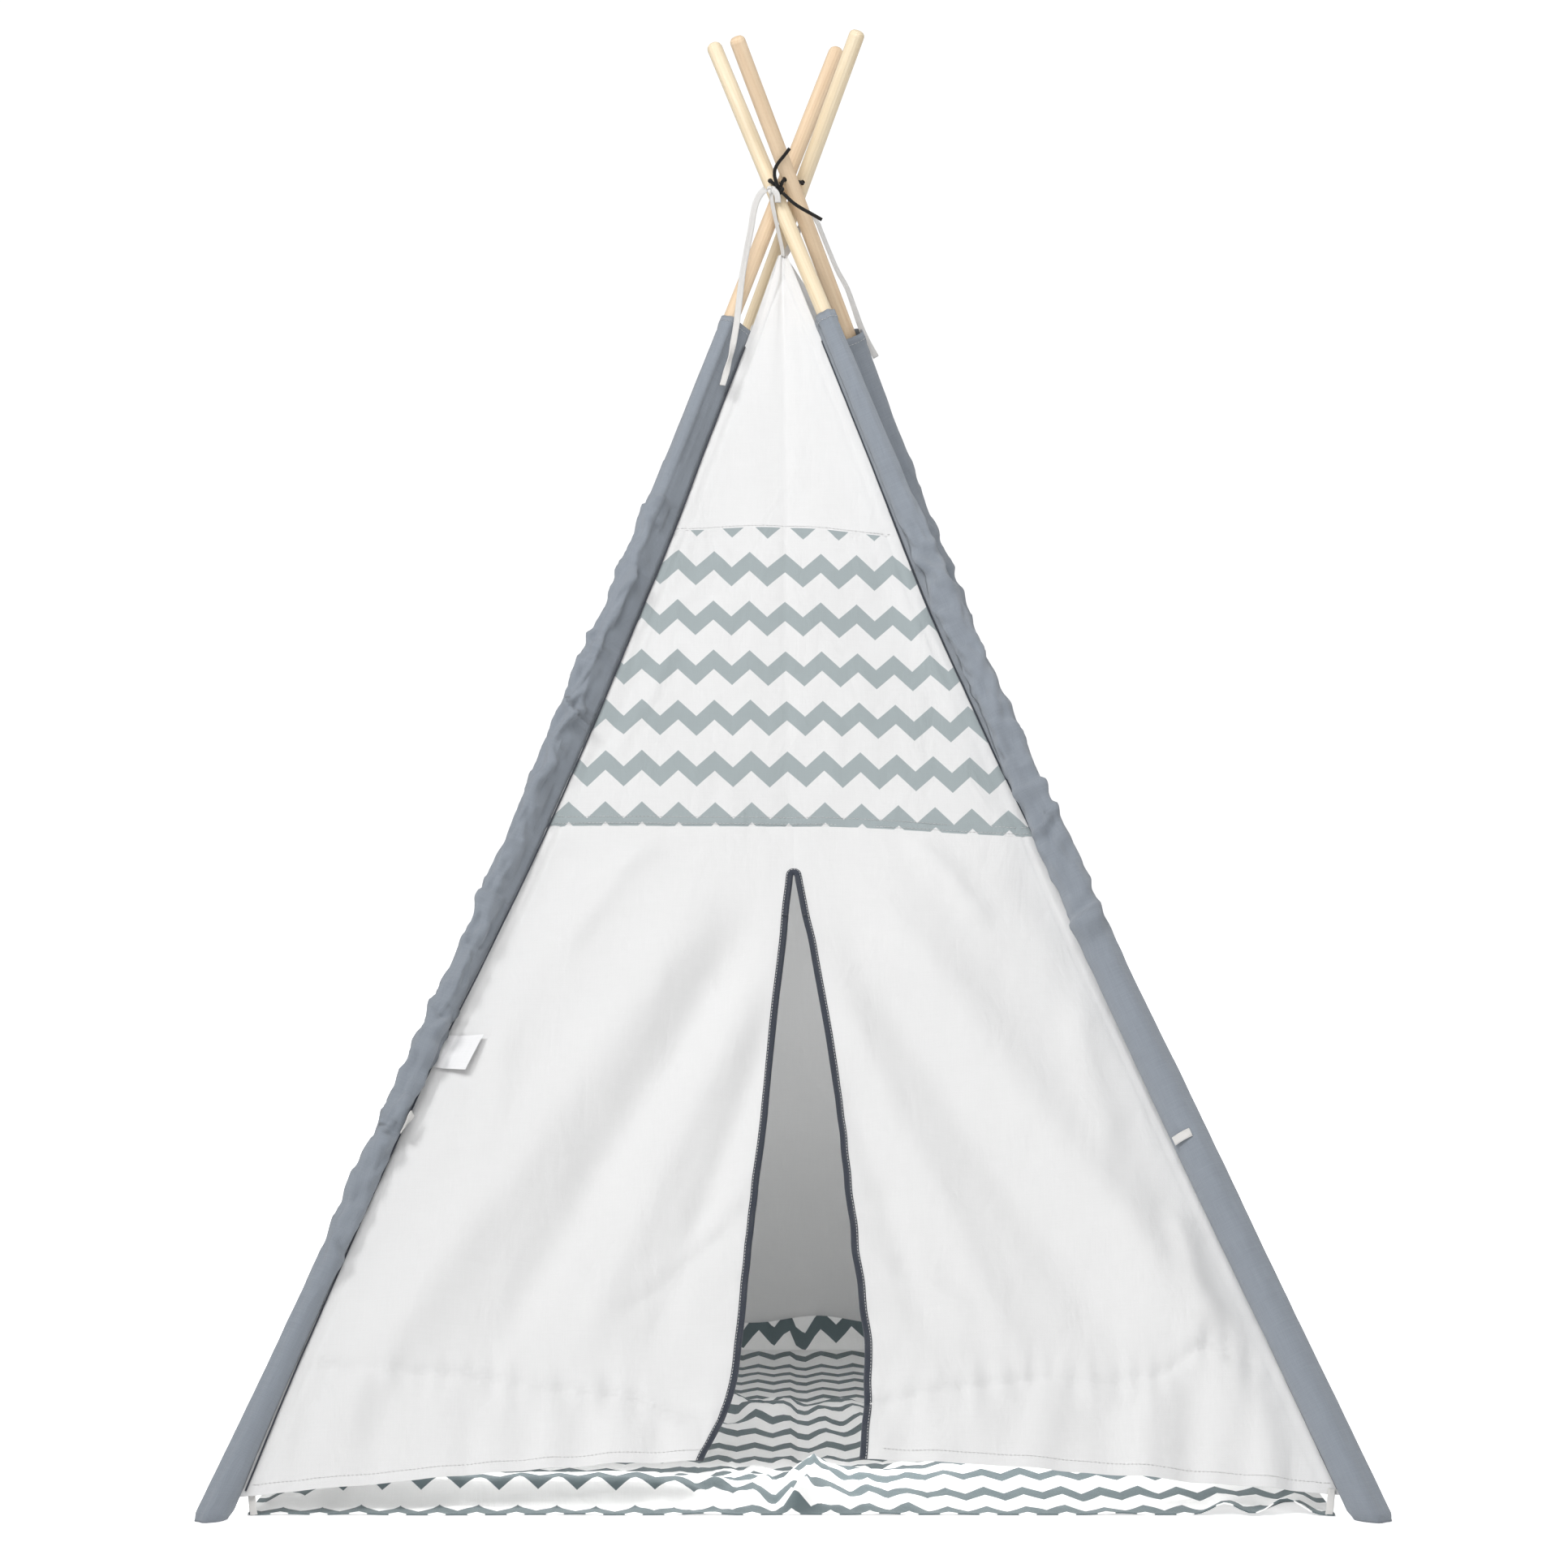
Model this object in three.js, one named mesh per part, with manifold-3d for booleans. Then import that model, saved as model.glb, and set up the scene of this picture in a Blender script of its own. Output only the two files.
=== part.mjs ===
// A four-pole play teepee for a child: a pyramid of cotton panels with a split door, sleeves that
// hold sectional wooden poles, a floor mat, and an elastic lashing where the poles cross.
// Millimetres, +Z up. The origin is the middle of the footprint, on the floor, and the door faces -Y.

import * as THREE from 'three';
import { mergeVertices } from 'three/addons/utils/BufferGeometryUtils.js';
import Module from 'manifold-3d';

const wasm = await Module();
wasm.setup();

// ---------------------------------------------------------------- driving dimensions

const FOOT = 586; // pole feet from the middle, along X and along Y
const CROSSING_Z = 1425; // height where the four poles pass each other
const POLE_R = 9;
const POLE_LIFT = 9; // a pole's lower end above the floor, inside the sleeve's closed pocket
const JOINT_Z = [ 530, 1070 ]; // heights of the two ferrules on each pole
const BOW = [ 14, 11 ]; // how far the taut fabric pulls a pole inwards at those ferrules

const TENON = { radius: 7.6, length: 31, start: 0.8 };
const FERRULE = { inner: 9.3, outer: 10.1, half: 30 };
const LASH_Z = 1440; // height of the lashing holes
const HOLE_R = 3;
const CORD_R = 2.1;

const SLEEVE_TOP = 1272;
const SLEEVE_WALL = 0.9;
const SLEEVE_TAIL_R = 2.4; // round of the seam edge, where the sleeve is sewn to the panels
const SLEEVE_HEIGHTS = [ 70, 300, 530, 800, 1070, SLEEVE_TOP ];
const SLEEVE_R = [ [ 0, 13.4 ], [ 530, 13.2 ], [ 1070, 12 ], [ SLEEVE_TOP, 11.6 ] ];

const FABRIC = 1.6; // thickness that stands for one layer of cloth with its seam allowances
const EDGE_GAP = 2; // between a panel's side edge and the seam edge of a sleeve
const SEAM_GAP = 1; // between two panels that are sewn together
const SEAM_LOW = 697; // height of the lower seam of the patterned band
const SEAM_HIGH = 1022; // height of its upper seam
const HEM_CORNER = 20; // height of a panel's bottom hem at its corners
const HEM_RISE = 35; // how much higher the hem is halfway along
const TIP = { x: - 9, y: 12, z: 1355, halfWidth: 5 }; // pointed top of the front and back panels

const SLIT_X = 3; // middle of the door slit at its top
const SLIT_ROUND = 4.5; // half width of the slit's round top
const SLIT_TOP = 648; // height where the round top starts
const SLIT_LEFT = [ [ 54, - 92.5 ], [ 88, - 77 ], [ 130, - 58 ], [ 340, - 34 ], [ 531, - 17 ],
	[ 599, - 4 ], [ SLIT_TOP, SLIT_X - SLIT_ROUND ] ]; // height and X of the slit's left edge
const SLIT_RIGHT = [ [ 54, 72.5 ], [ 100, 80 ], [ 140, 84 ], [ 227, 70.6 ], [ 356, 57.2 ],
	[ 573, 22 ], [ SLIT_TOP, SLIT_X + SLIT_ROUND ] ]; // height and X of its right edge
const BINDING = 7.5; // width of the tape that edges the slit
const FOLD_APEX = [ SLIT_X, 651 ]; // X and height where both door fold lines would meet
const FOLD_FOOT = 398; // X of a fold line where it reaches the hem
const FLAP_TOP = 600; // a door flap starts below this height
const FLAP_GAP = 0.4; // between a flap and the panel that it folds from

const MAT = { x: 552, y: 562, thickness: 1.8 };

// Each pole: the corner that its foot stands in, the X and Y where it passes through the crossing,
// the share of the full bow, the height of its tip, and where its sleeve's seam edge lies from its
// axis.
const POLES = {
	front_right: {
		foot: [ 1, - 1 ], cross: [ - 17.5, - 12 ], bow: 1, top: 1612, tail: [ - 17, 17 ], tone: 'cream',
	},
	front_left: {
		foot: [ - 1, - 1 ], cross: [ - 13.5, 12 ], bow: 1, top: 1612, tail: [ 28, 10 ], tone: 'tan',
	},
	rear_right: {
		foot: [ 1, 1 ], cross: [ 5.5, - 12 ], bow: 0.2, top: 1594, tail: [ - 17, - 17 ], tone: 'tan',
	},
	rear_left: {
		foot: [ - 1, 1 ], cross: [ 8, 12 ], bow: 1, top: 1606, tail: [ 17, - 17 ], tone: 'cream',
	},
};

// Each side of the tent: the poles at its left and right edges as seen from outside, and whether
// its top runs up to a point.
const SIDES = {
	front: { left: 'front_left', right: 'front_right', pointed: true },
	right: { left: 'front_right', right: 'rear_right', pointed: false },
	back: { left: 'rear_right', right: 'rear_left', pointed: true },
	left: { left: 'rear_left', right: 'front_left', pointed: false },
};

// ---------------------------------------------------------------- materials

function finish( colour, roughness, metalness = 0 ) {

	return new THREE.MeshStandardMaterial( { color: colour, roughness, metalness } );

}

const MATERIALS = {
	cream: finish( 0xf3e2c4, 0.55 ),
	tan: finish( 0xe4c7a2, 0.55 ),
	steel: finish( 0xb9bcc0, 0.35, 0.9 ),
	sleeve: finish( 0x8a95a2, 0.9 ),
	white: finish( 0xf3f3f1, 0.92 ),
	chevron: finish( 0xc9d2d2, 0.92 ),
	binding: finish( 0x555a66, 0.85 ),
	elastic: finish( 0x23201e, 0.7 ),
	ribbon: finish( 0xf7f7f7, 0.8 ),
};

// ---------------------------------------------------------------- small tools

const tent = new THREE.Group();

function vec( x, y, z ) {

	return new THREE.Vector3( x, y, z );

}

function add( name, geometry, material, parent = tent ) {

	const mesh = new THREE.Mesh( geometry, material );
	mesh.name = name;
	parent.add( mesh );
	return mesh;

}

// The value at x of a line drawn through a table of [ x, value ] pairs, kept level past its ends.
function along( table, x ) {

	if ( x <= table[ 0 ][ 0 ] ) return table[ 0 ][ 1 ];
	for ( let i = 1; i < table.length; i ++ ) {

		const [ x0, v0 ] = table[ i - 1 ];
		const [ x1, v1 ] = table[ i ];
		if ( x <= x1 ) return v0 + ( v1 - v0 ) * ( x - x0 ) / ( x1 - x0 );

	}

	return table[ table.length - 1 ][ 1 ];

}

function indexed( points, faces ) {

	const geometry = new THREE.BufferGeometry();
	geometry.setAttribute( 'position', new THREE.Float32BufferAttribute( points.flatMap( ( p ) => p.toArray() ), 3 ) );
	geometry.setIndex( faces.flat() );
	geometry.computeVertexNormals();
	return geometry;

}

// A closed skin through a row of rings of equal length, with a flat fan over the first and the last.
function loft( rings ) {

	const n = rings[ 0 ].length;
	const faces = [];
	for ( let r = 0; r + 1 < rings.length; r ++ ) {

		for ( let i = 0; i < n; i ++ ) {

			const a = r * n + i;
			const b = r * n + ( i + 1 ) % n;
			faces.push( [ a, b, b + n ], [ a, b + n, a + n ] );

		}

	}

	const last = ( rings.length - 1 ) * n;
	for ( let i = 1; i + 1 < n; i ++ ) {

		faces.push( [ 0, i + 1, i ], [ last, last + i, last + i + 1 ] );

	}

	return indexed( rings.flat(), faces );

}

// A sheet of even thickness over a grid of points. Rows go up and columns go right, seen from outside.
function slab( rows, thickness ) {

	const nr = rows.length;
	const nc = rows[ 0 ].length;
	const across = rows[ 0 ][ nc - 1 ].clone().sub( rows[ 0 ][ 0 ] );
	const up = rows[ nr - 1 ][ 0 ].clone().sub( rows[ 0 ][ 0 ] );
	const half = across.cross( up ).setLength( thickness / 2 );
	const outer = rows.flat().map( ( p ) => p.clone().add( half ) );
	const inner = rows.flat().map( ( p ) => p.clone().sub( half ) );
	const back = nr * nc;
	const faces = [];
	const quad = ( a, b, c, d ) => faces.push( [ a, b, c ], [ a, c, d ] );
	for ( let r = 0; r + 1 < nr; r ++ ) {

		for ( let c = 0; c + 1 < nc; c ++ ) {

			const a = r * nc + c;
			quad( a, a + 1, a + nc + 1, a + nc );
			quad( back + a, back + a + nc, back + a + nc + 1, back + a + 1 );

		}

		const left = r * nc;
		const right = left + nc - 1;
		quad( left, left + nc, back + left + nc, back + left );
		quad( right, back + right, back + right + nc, right + nc );

	}

	for ( let c = 0; c + 1 < nc; c ++ ) {

		const top = ( nr - 1 ) * nc + c;
		quad( c, back + c, back + c + 1, c + 1 );
		quad( top, top + 1, back + top + 1, back + top );

	}

	return indexed( [ ...outer, ...inner ], faces );

}

function toManifold( geometry ) {

	const bare = geometry.clone();
	bare.deleteAttribute( 'normal' );
	bare.deleteAttribute( 'uv' );
	const merged = mergeVertices( bare, 1e-4 );
	return new wasm.Manifold( new wasm.Mesh( {
		numProp: 3,
		vertProperties: merged.attributes.position.array,
		triVerts: Uint32Array.from( merged.index.array ),
	} ) );

}

function subtract( geometry, tool ) {

	const mesh = toManifold( geometry ).subtract( toManifold( tool ) ).getMesh();
	const cut = new THREE.BufferGeometry();
	cut.setAttribute( 'position', new THREE.BufferAttribute( mesh.vertProperties, 3 ) );
	cut.setIndex( new THREE.BufferAttribute( mesh.triVerts, 1 ) );
	cut.computeVertexNormals();
	return cut;

}

// ---------------------------------------------------------------- poles and ferrules

// A pole's foot on the floor, its two ferrules and its tip, from the bottom up.
function corners( pole ) {

	const [ fx, fy ] = pole.foot;
	const foot = vec( FOOT * fx, FOOT * fy, 0 );
	const cross = vec( ...pole.cross, CROSSING_Z );
	const joints = JOINT_Z.map( ( z, i ) => {

		const inward = vec( fx, fy, 0 ).multiplyScalar( BOW[ i ] * pole.bow );
		return foot.clone().lerp( cross, z / CROSSING_Z ).sub( inward );

	} );
	const reach = ( pole.top - JOINT_Z[ 1 ] ) / ( CROSSING_Z - JOINT_Z[ 1 ] );
	return [ foot, ...joints, joints[ 1 ].clone().lerp( cross, reach ) ];

}

// The point of a pole's axis at a height.
function axisAt( pole, z ) {

	const points = corners( pole );
	const i = z < JOINT_Z[ 0 ] ? 0 : z < JOINT_Z[ 1 ] ? 1 : 2;
	const [ a, b ] = [ points[ i ], points[ i + 1 ] ];
	return a.clone().lerp( b, ( z - a.z ) / ( b.z - a.z ) );

}

// The direction of a pole's axis at a height, upwards.
function directionAt( pole, z ) {

	return axisAt( pole, z + 0.5 ).sub( axisAt( pole, z - 0.5 ) ).normalize();

}

function turned( profile, from, direction ) {

	const points = profile.map( ( [ r, y ] ) => new THREE.Vector2( r, y ) );
	const turn = new THREE.Quaternion().setFromUnitVectors( vec( 0, 1, 0 ), direction );
	const place = new THREE.Matrix4().compose( from, turn, vec( 1, 1, 1 ) );
	return new THREE.LatheGeometry( points, 16 ).applyMatrix4( place );

}

// A quarter round from the axis side to the rim, at the bottom (sign 1) or the top (sign -1) of a rod.
function roundedEnd( radius, round, y, sign ) {

	const points = [ [ 0, y ] ];
	for ( let i = 0; i <= 3; i ++ ) {

		const turn = i * Math.PI / 6;
		points.push( [ radius - round + round * Math.sin( turn ), y + sign * round * ( 1 - Math.cos( turn ) ) ] );

	}

	return sign > 0 ? points : points.reverse();

}

function section( from, to, lowerEnd, upperEnd ) {

	const direction = to.clone().sub( from ).normalize();
	const start = lowerEnd === 'tenon' ? TENON.start : 0;
	const length = to.distanceTo( from ) - start;
	const low = lowerEnd === 'tenon'
		? [ [ 0, 0 ], [ TENON.radius, 0 ], [ TENON.radius, TENON.length ], [ POLE_R, TENON.length ] ]
		: roundedEnd( POLE_R, 4, 0, 1 );
	const high = upperEnd === 'flat'
		? [ [ POLE_R, length ], [ 0, length ] ]
		: roundedEnd( POLE_R, 6, length, - 1 );
	return turned( [ ...low, ...high ], from.clone().addScaledVector( direction, start ), direction );

}

function drill( point, direction ) {

	const turn = new THREE.Quaternion().setFromUnitVectors( vec( 0, 1, 0 ), direction.clone().normalize() );
	const place = new THREE.Matrix4().compose( point, turn, vec( 1, 1, 1 ) );
	return new THREE.CylinderGeometry( HOLE_R, HOLE_R, 6 * POLE_R, 12 ).applyMatrix4( place );

}

// The hole of a foot-forward pole and of its partner. The cord runs straight back through two of the
// poles, and slants through the other two to get from one to the next.
const BACKWARDS = vec( 0, 1, 0 );
const SLANT = vec( 12, 14.5, 0 );
const HOLES = { front_right: BACKWARDS, front_left: SLANT, rear_right: SLANT, rear_left: BACKWARDS };

for ( const [ name, pole ] of Object.entries( POLES ) ) {

	const [ , lower, upper, tip ] = corners( pole );
	const foot = axisAt( pole, POLE_LIFT );
	const top = section( upper, tip, 'tenon', 'round' );
	add( `pole_${ name }_bottom`, section( foot, lower, 'round', 'flat' ), MATERIALS[ pole.tone ] );
	add( `pole_${ name }_middle`, section( lower, upper, 'tenon', 'flat' ), MATERIALS[ pole.tone ] );
	add( `pole_${ name }_top`, subtract( top, drill( axisAt( pole, LASH_Z ), HOLES[ name ] ) ),
		MATERIALS[ pole.tone ] );

	for ( const [ where, joint ] of [ [ 'lower', lower ], [ 'upper', upper ] ] ) {

		const { inner, outer, half } = FERRULE;
		const direction = directionAt( pole, joint.z - 1 );
		const ring = [ [ inner, - half ], [ outer, - half ], [ outer, half ], [ inner, half ], [ inner, - half ] ];
		add( `ferrule_${ name }_${ where }`, turned( ring, joint, direction ), MATERIALS.steel );

	}

}

// ---------------------------------------------------------------- sleeves

// The outline of a sleeve across its pole: round about the pole, and drawn in to its seam edge.
function teardrop( radius, tailRadius, reach ) {

	const lean = Math.acos( ( radius - tailRadius ) / reach );
	const points = [];
	const arc = ( centre, r, from, to, steps ) => {

		for ( let i = 0; i <= steps; i ++ ) {

			const turn = from + ( to - from ) * i / steps;
			points.push( [ centre + r * Math.cos( turn ), r * Math.sin( turn ) ] );

		}

	};

	arc( 0, radius, lean, 2 * Math.PI - lean, 9 );
	arc( reach, tailRadius, - lean, lean, 3 );
	return points;

}

// One ring of a sleeve. A level ring is the same tube cut along the floor instead of across the pole.
function sleeveRing( pole, z, shrink, level ) {

	const direction = directionAt( pole, Math.max( z, 1 ) );
	const seam = vec( ...pole.tail, 0 );
	const aside = seam.addScaledVector( direction, - seam.dot( direction ) );
	const reach = aside.length() - SLEEVE_TAIL_R;
	const u = aside.normalize();
	const w = direction.clone().cross( u );
	const centre = axisAt( pole, z );
	return teardrop( along( SLEEVE_R, z ) - shrink, SLEEVE_TAIL_R - shrink, reach ).map( ( [ a, b ] ) => {

		const point = centre.clone().addScaledVector( u, a ).addScaledVector( w, b );
		return level ? point.addScaledVector( direction, ( z - point.z ) / direction.z ) : point;

	} );

}

for ( const [ name, pole ] of Object.entries( POLES ) ) {

	const outside = SLEEVE_HEIGHTS.map( ( z ) => sleeveRing( pole, z, 0, false ) );
	const inside = SLEEVE_HEIGHTS.map( ( z ) => sleeveRing( pole, z, SLEEVE_WALL, false ) );
	const pocket = 2; // thickness of the folded cloth under the pole's end
	add( `sleeve_${ name }`, loft( [
		sleeveRing( pole, 0, 0, true ),
		...outside,
		...inside.reverse(),
		sleeveRing( pole, pocket, SLEEVE_WALL, true ),
	] ), MATERIALS.sleeve );

}

// ---------------------------------------------------------------- side panels and bands

// A point of one side of the tent, from its left edge (u = 0) to its right edge (u = 1).
function sidePoint( side, u, z ) {

	const [ left, right ] = [ side.left, side.right ].map( ( name ) => {

		return axisAt( POLES[ name ], z ).add( vec( ...POLES[ name ].tail, 0 ) );

	} );
	const inset = right.clone().sub( left ).setLength( EDGE_GAP );
	return left.add( inset ).lerp( right.sub( inset ), u );

}

function hemHeight( u ) {

	return HEM_CORNER + HEM_RISE * Math.sin( Math.PI * u );

}

function sideRow( side, columns, heightAt ) {

	return Array.from( { length: columns + 1 }, ( _, i ) => sidePoint( side, i / columns, heightAt( i / columns ) ) );

}

for ( const [ name, side ] of Object.entries( SIDES ) ) {

	const level = ( z, columns ) => sideRow( side, columns, () => z );
	const gap = SEAM_GAP / 2;
	const upper = [ level( SEAM_HIGH + gap, 2 ), level( JOINT_Z[ 1 ], 2 ), level( SLEEVE_TOP - EDGE_GAP, 2 ) ];
	if ( side.pointed ) {

		const sign = name === 'front' ? 1 : - 1;
		const middle = vec( TIP.x, - sign * TIP.y, TIP.z );
		upper.push( [ - 1, 0, 1 ].map( ( k ) => middle.clone().add( vec( sign * k * TIP.halfWidth, 0, 0 ) ) ) );

	}

	add( `${ name }_upper`, slab( upper, FABRIC ), MATERIALS.white );
	add( `${ name }_band`, slab( [ level( SEAM_LOW + gap, 2 ), level( SEAM_HIGH - gap, 2 ) ], FABRIC ),
		MATERIALS.chevron );
	if ( name !== 'front' ) {

		const lower = [ sideRow( side, 8, hemHeight ), level( JOINT_Z[ 0 ], 8 ), level( SEAM_LOW - gap, 8 ) ];
		add( `${ name }_lower`, slab( lower, FABRIC ), MATERIALS.white );

	}

}

// ---------------------------------------------------------------- the lower front panel and its door

// The lower front panel lies in one leaning plane. Inside this group X is across, Y is up the slope
// and Z is out of the tent, and the middle of the cloth is at Z = 0.
const hemMiddle = sidePoint( SIDES.front, 0.5, HEM_CORNER );
const seamMiddle = sidePoint( SIDES.front, 0.5, SEAM_LOW );
const lean = Math.atan2( seamMiddle.y - hemMiddle.y, seamMiddle.z - hemMiddle.z );
const slope = new THREE.Group();
slope.position.set( 0, hemMiddle.y - HEM_CORNER * Math.tan( lean ), 0 );
slope.rotation.x = Math.PI / 2 - lean;
tent.add( slope );

const SIGN = { left: - 1, right: 1 };
const SLIT = { left: SLIT_LEFT, right: SLIT_RIGHT };

// A point of the slope from its X and its height.
function flat( x, z ) {

	return new THREE.Vector2( x, z / Math.cos( lean ) );

}

function cloth( name, outline, material, thickness, out = 0 ) {

	const geometry = new THREE.ExtrudeGeometry( new THREE.Shape( outline ), { depth: thickness, bevelEnabled: false } );
	add( name, geometry, material, slope ).position.z = out - thickness / 2;

}

function edgeX( hand, z ) {

	return sidePoint( SIDES.front, hand === 'left' ? 0 : 1, z ).x;

}

function hemZ( x ) {

	return hemHeight( ( x - edgeX( 'left', HEM_CORNER ) ) / ( edgeX( 'right', HEM_CORNER ) - edgeX( 'left', HEM_CORNER ) ) );

}

function foldX( hand, z ) {

	const foot = SIGN[ hand ] * FOLD_FOOT;
	return FOLD_APEX[ 0 ] + ( foot - FOLD_APEX[ 0 ] ) * ( FOLD_APEX[ 1 ] - z ) / ( FOLD_APEX[ 1 ] - hemZ( foot ) );

}

// Points of the hem from one X to another, ends included.
function hemPoints( from, to, steps ) {

	return Array.from( { length: steps + 1 }, ( _, i ) => {

		const x = from + ( to - from ) * i / steps;
		return flat( x, hemZ( x ) );

	} );

}

// A quarter of the slit's round top, from the side to the middle, some way outside the slit's edge.
function apexArc( hand, out, middleX ) {

	return [ 0, 1, 2, 3 ].map( ( i ) => {

		const turn = i * Math.PI / 6;
		const x = SLIT_X + SIGN[ hand ] * ( SLIT_ROUND + out ) * Math.cos( turn );
		const height = SLIT_TOP + ( SLIT_ROUND + out ) * Math.sin( turn );
		return i === 3 ? flat( middleX, height ) : flat( x, height );

	} );

}

// Heights where the edge of a flap needs a point, from its top to the hem.
function edgeHeights( hand, top ) {

	return [ top, ...SLIT[ hand ].map( ( [ z ] ) => z ).filter( ( z ) => z < top ).reverse() ];

}

for ( const hand of [ 'left', 'right' ] ) {

	const sign = SIGN[ hand ];
	const slit = ( z ) => along( SLIT[ hand ], z );
	const clear = BINDING + SEAM_GAP;
	const flapTop = FLAP_TOP - SEAM_GAP / 2;
	const aboveFlap = FLAP_TOP + SEAM_GAP / 2;
	const footX = sign * FOLD_FOOT;

	cloth( `front_lower_${ hand }`, [
		...hemPoints( edgeX( hand, HEM_CORNER ), footX + sign * FLAP_GAP, 3 ),
		flat( foldX( hand, aboveFlap ) + sign * FLAP_GAP, aboveFlap ),
		flat( slit( aboveFlap ) + sign * clear, aboveFlap ),
		...apexArc( hand, clear, SLIT_X + sign * SEAM_GAP / 2 ),
		flat( SLIT_X + sign * SEAM_GAP / 2, SEAM_LOW - SEAM_GAP / 2 ),
		flat( edgeX( hand, SEAM_LOW ), SEAM_LOW - SEAM_GAP / 2 ),
		flat( edgeX( hand, JOINT_Z[ 0 ] ), JOINT_Z[ 0 ] ),
	], MATERIALS.white, FABRIC );

	const heights = edgeHeights( hand, flapTop );
	const lowest = heights[ heights.length - 1 ];
	cloth( `door_flap_${ hand }`, [
		...heights.map( ( z ) => flat( slit( z ) + sign * clear, z ) ),
		...hemPoints( slit( lowest ) + sign * clear, footX - sign * FLAP_GAP, 6 ).slice( 1 ),
		flat( foldX( hand, flapTop ) - sign * FLAP_GAP, flapTop ),
	], MATERIALS.white, FABRIC );

	cloth( `door_binding_${ hand }`, [
		...heights.map( ( z ) => flat( slit( z ), z ) ),
		...heights.map( ( z ) => flat( slit( z ) + sign * BINDING, z ) ).reverse(),
	], MATERIALS.binding, FABRIC + 0.8 );

}

// The tape round the top of the slit.
function apexOutline( out ) {

	const side = ( hand ) => {

		const z = FLAP_TOP + SEAM_GAP / 2;
		return [ flat( along( SLIT[ hand ], z ) + SIGN[ hand ] * out, z ), ...apexArc( hand, out, SLIT_X ) ];

	};

	return [ ...side( 'left' ), ...side( 'right' ).reverse().slice( 1 ) ];

}

cloth( 'slit_top_binding', [ ...apexOutline( BINDING ), ...apexOutline( 0 ).reverse() ], MATERIALS.binding, FABRIC + 0.8 );

// A sewn-in care label beside the left sleeve.
const LABEL = { x: - 331, z: 458, width: 46, height: 40, thickness: 0.6 };
const label = new THREE.BoxGeometry( LABEL.width, LABEL.height, LABEL.thickness );
add( 'care_label', label, MATERIALS.ribbon, slope ).position.set(
	LABEL.x, LABEL.z / Math.cos( lean ), FABRIC / 2 + 0.3 + LABEL.thickness / 2 );

// ---------------------------------------------------------------- floor mat, corner tabs, door ties

const mat = new THREE.BoxGeometry( 2 * MAT.x, 2 * MAT.y, MAT.thickness );
add( 'floor_mat', mat, MATERIALS.chevron ).position.z = MAT.thickness / 2;

// A short tape at each corner joins the mat to the tent.
const TAB = { width: 12, thickness: 0.8, bottom: 0.6, height: 16, x: 545 };
for ( const [ name, pole ] of Object.entries( POLES ) ) {

	const tab = new THREE.BoxGeometry( TAB.width, TAB.thickness, TAB.height );
	add( `corner_tab_${ name }`, tab, MATERIALS.ribbon ).position.set(
		pole.foot[ 0 ] * TAB.x, pole.foot[ 1 ] * ( MAT.y + 1 + TAB.thickness / 2 ), TAB.bottom + TAB.height / 2 );

}

// A tape loop on each front sleeve, for tying a folded flap back. It lies on the sleeve's outer side.
const TIE = { z: 367, width: 10, length: 18, thickness: 1, gap: 1 };
for ( const hand of [ 'left', 'right' ] ) {

	const pole = POLES[ `front_${ hand }` ];
	const direction = directionAt( pole, TIE.z );
	const outward = vec( 0, - 1, 0 ).addScaledVector( direction, direction.y ).normalize();
	const across = direction.clone().cross( outward );
	const centre = axisAt( pole, TIE.z )
		.addScaledVector( outward, along( SLEEVE_R, TIE.z ) + TIE.gap + TIE.thickness / 2 );
	const place = new THREE.Matrix4().makeBasis( across, direction, outward ).setPosition( centre );
	const tie = new THREE.BoxGeometry( TIE.length, TIE.width, TIE.thickness ).applyMatrix4( place );
	add( `door_tie_${ hand }`, tie, MATERIALS.ribbon );

}

// ---------------------------------------------------------------- lashing cord and ribbons

// A section with eight sides, in the sweep's own axes.
function eightSided( halfX, halfY ) {

	return new THREE.Shape( Array.from( { length: 8 }, ( _, i ) => {

		const turn = ( i + 0.5 ) * Math.PI / 4;
		return new THREE.Vector2( halfX * Math.cos( turn ), halfY * Math.sin( turn ) );

	} ) );

}

function sweep( name, route, shape, steps, material ) {

	const path = new THREE.CatmullRomCurve3( route.map( ( p ) => vec( ...p ) ), false, 'centripetal' );
	add( name, new THREE.ExtrudeGeometry( shape, { steps, extrudePath: path } ), material );

}

const ROUND = eightSided( CORD_R, CORD_R );
const TAPE = eightSided( 0.9, 3.7 );

// The elastic loop, held in the four drilled poles. Both of its ends go into the knot at the front.
sweep( 'lashing_loop', [
	[ - 17, - 26.5, 1433 ], [ - 22.5, - 24, 1438 ], [ - 23.5, - 18, 1440 ], [ - 23.5, - 6.3, 1440 ],
	[ - 23.4, 2, 1440 ], [ - 21.3, 5.7, 1440 ], [ - 17.6, 8.1, 1440 ], [ - 13.6, 11.2, 1440 ],
	[ - 7.9, 17.9, 1440 ], [ - 1.6, 25.5, 1440 ], [ 4, 29.5, 1440 ], [ 10.5, 28, 1440 ],
	[ 13.6, 20, 1440 ], [ 13.8, 6.5, 1440 ], [ 13.6, - 2.4, 1440 ], [ 11, - 6, 1440 ],
	[ 6, - 10.4, 1440 ], [ - 0.5, - 18.2, 1440 ], [ - 5.8, - 24.6, 1440 ],
	[ - 8.8, - 28, 1438 ], [ - 10.5, - 29.3, 1433.5 ],
], ROUND, 56, MATERIALS.elastic );

const KNOT = { x: - 12, y: - 28, z: 1427, radius: 5 };
add( 'lashing_knot', new THREE.SphereGeometry( KNOT.radius, 12, 8 ), MATERIALS.elastic )
	.position.set( KNOT.x, KNOT.y, KNOT.z );

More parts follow.
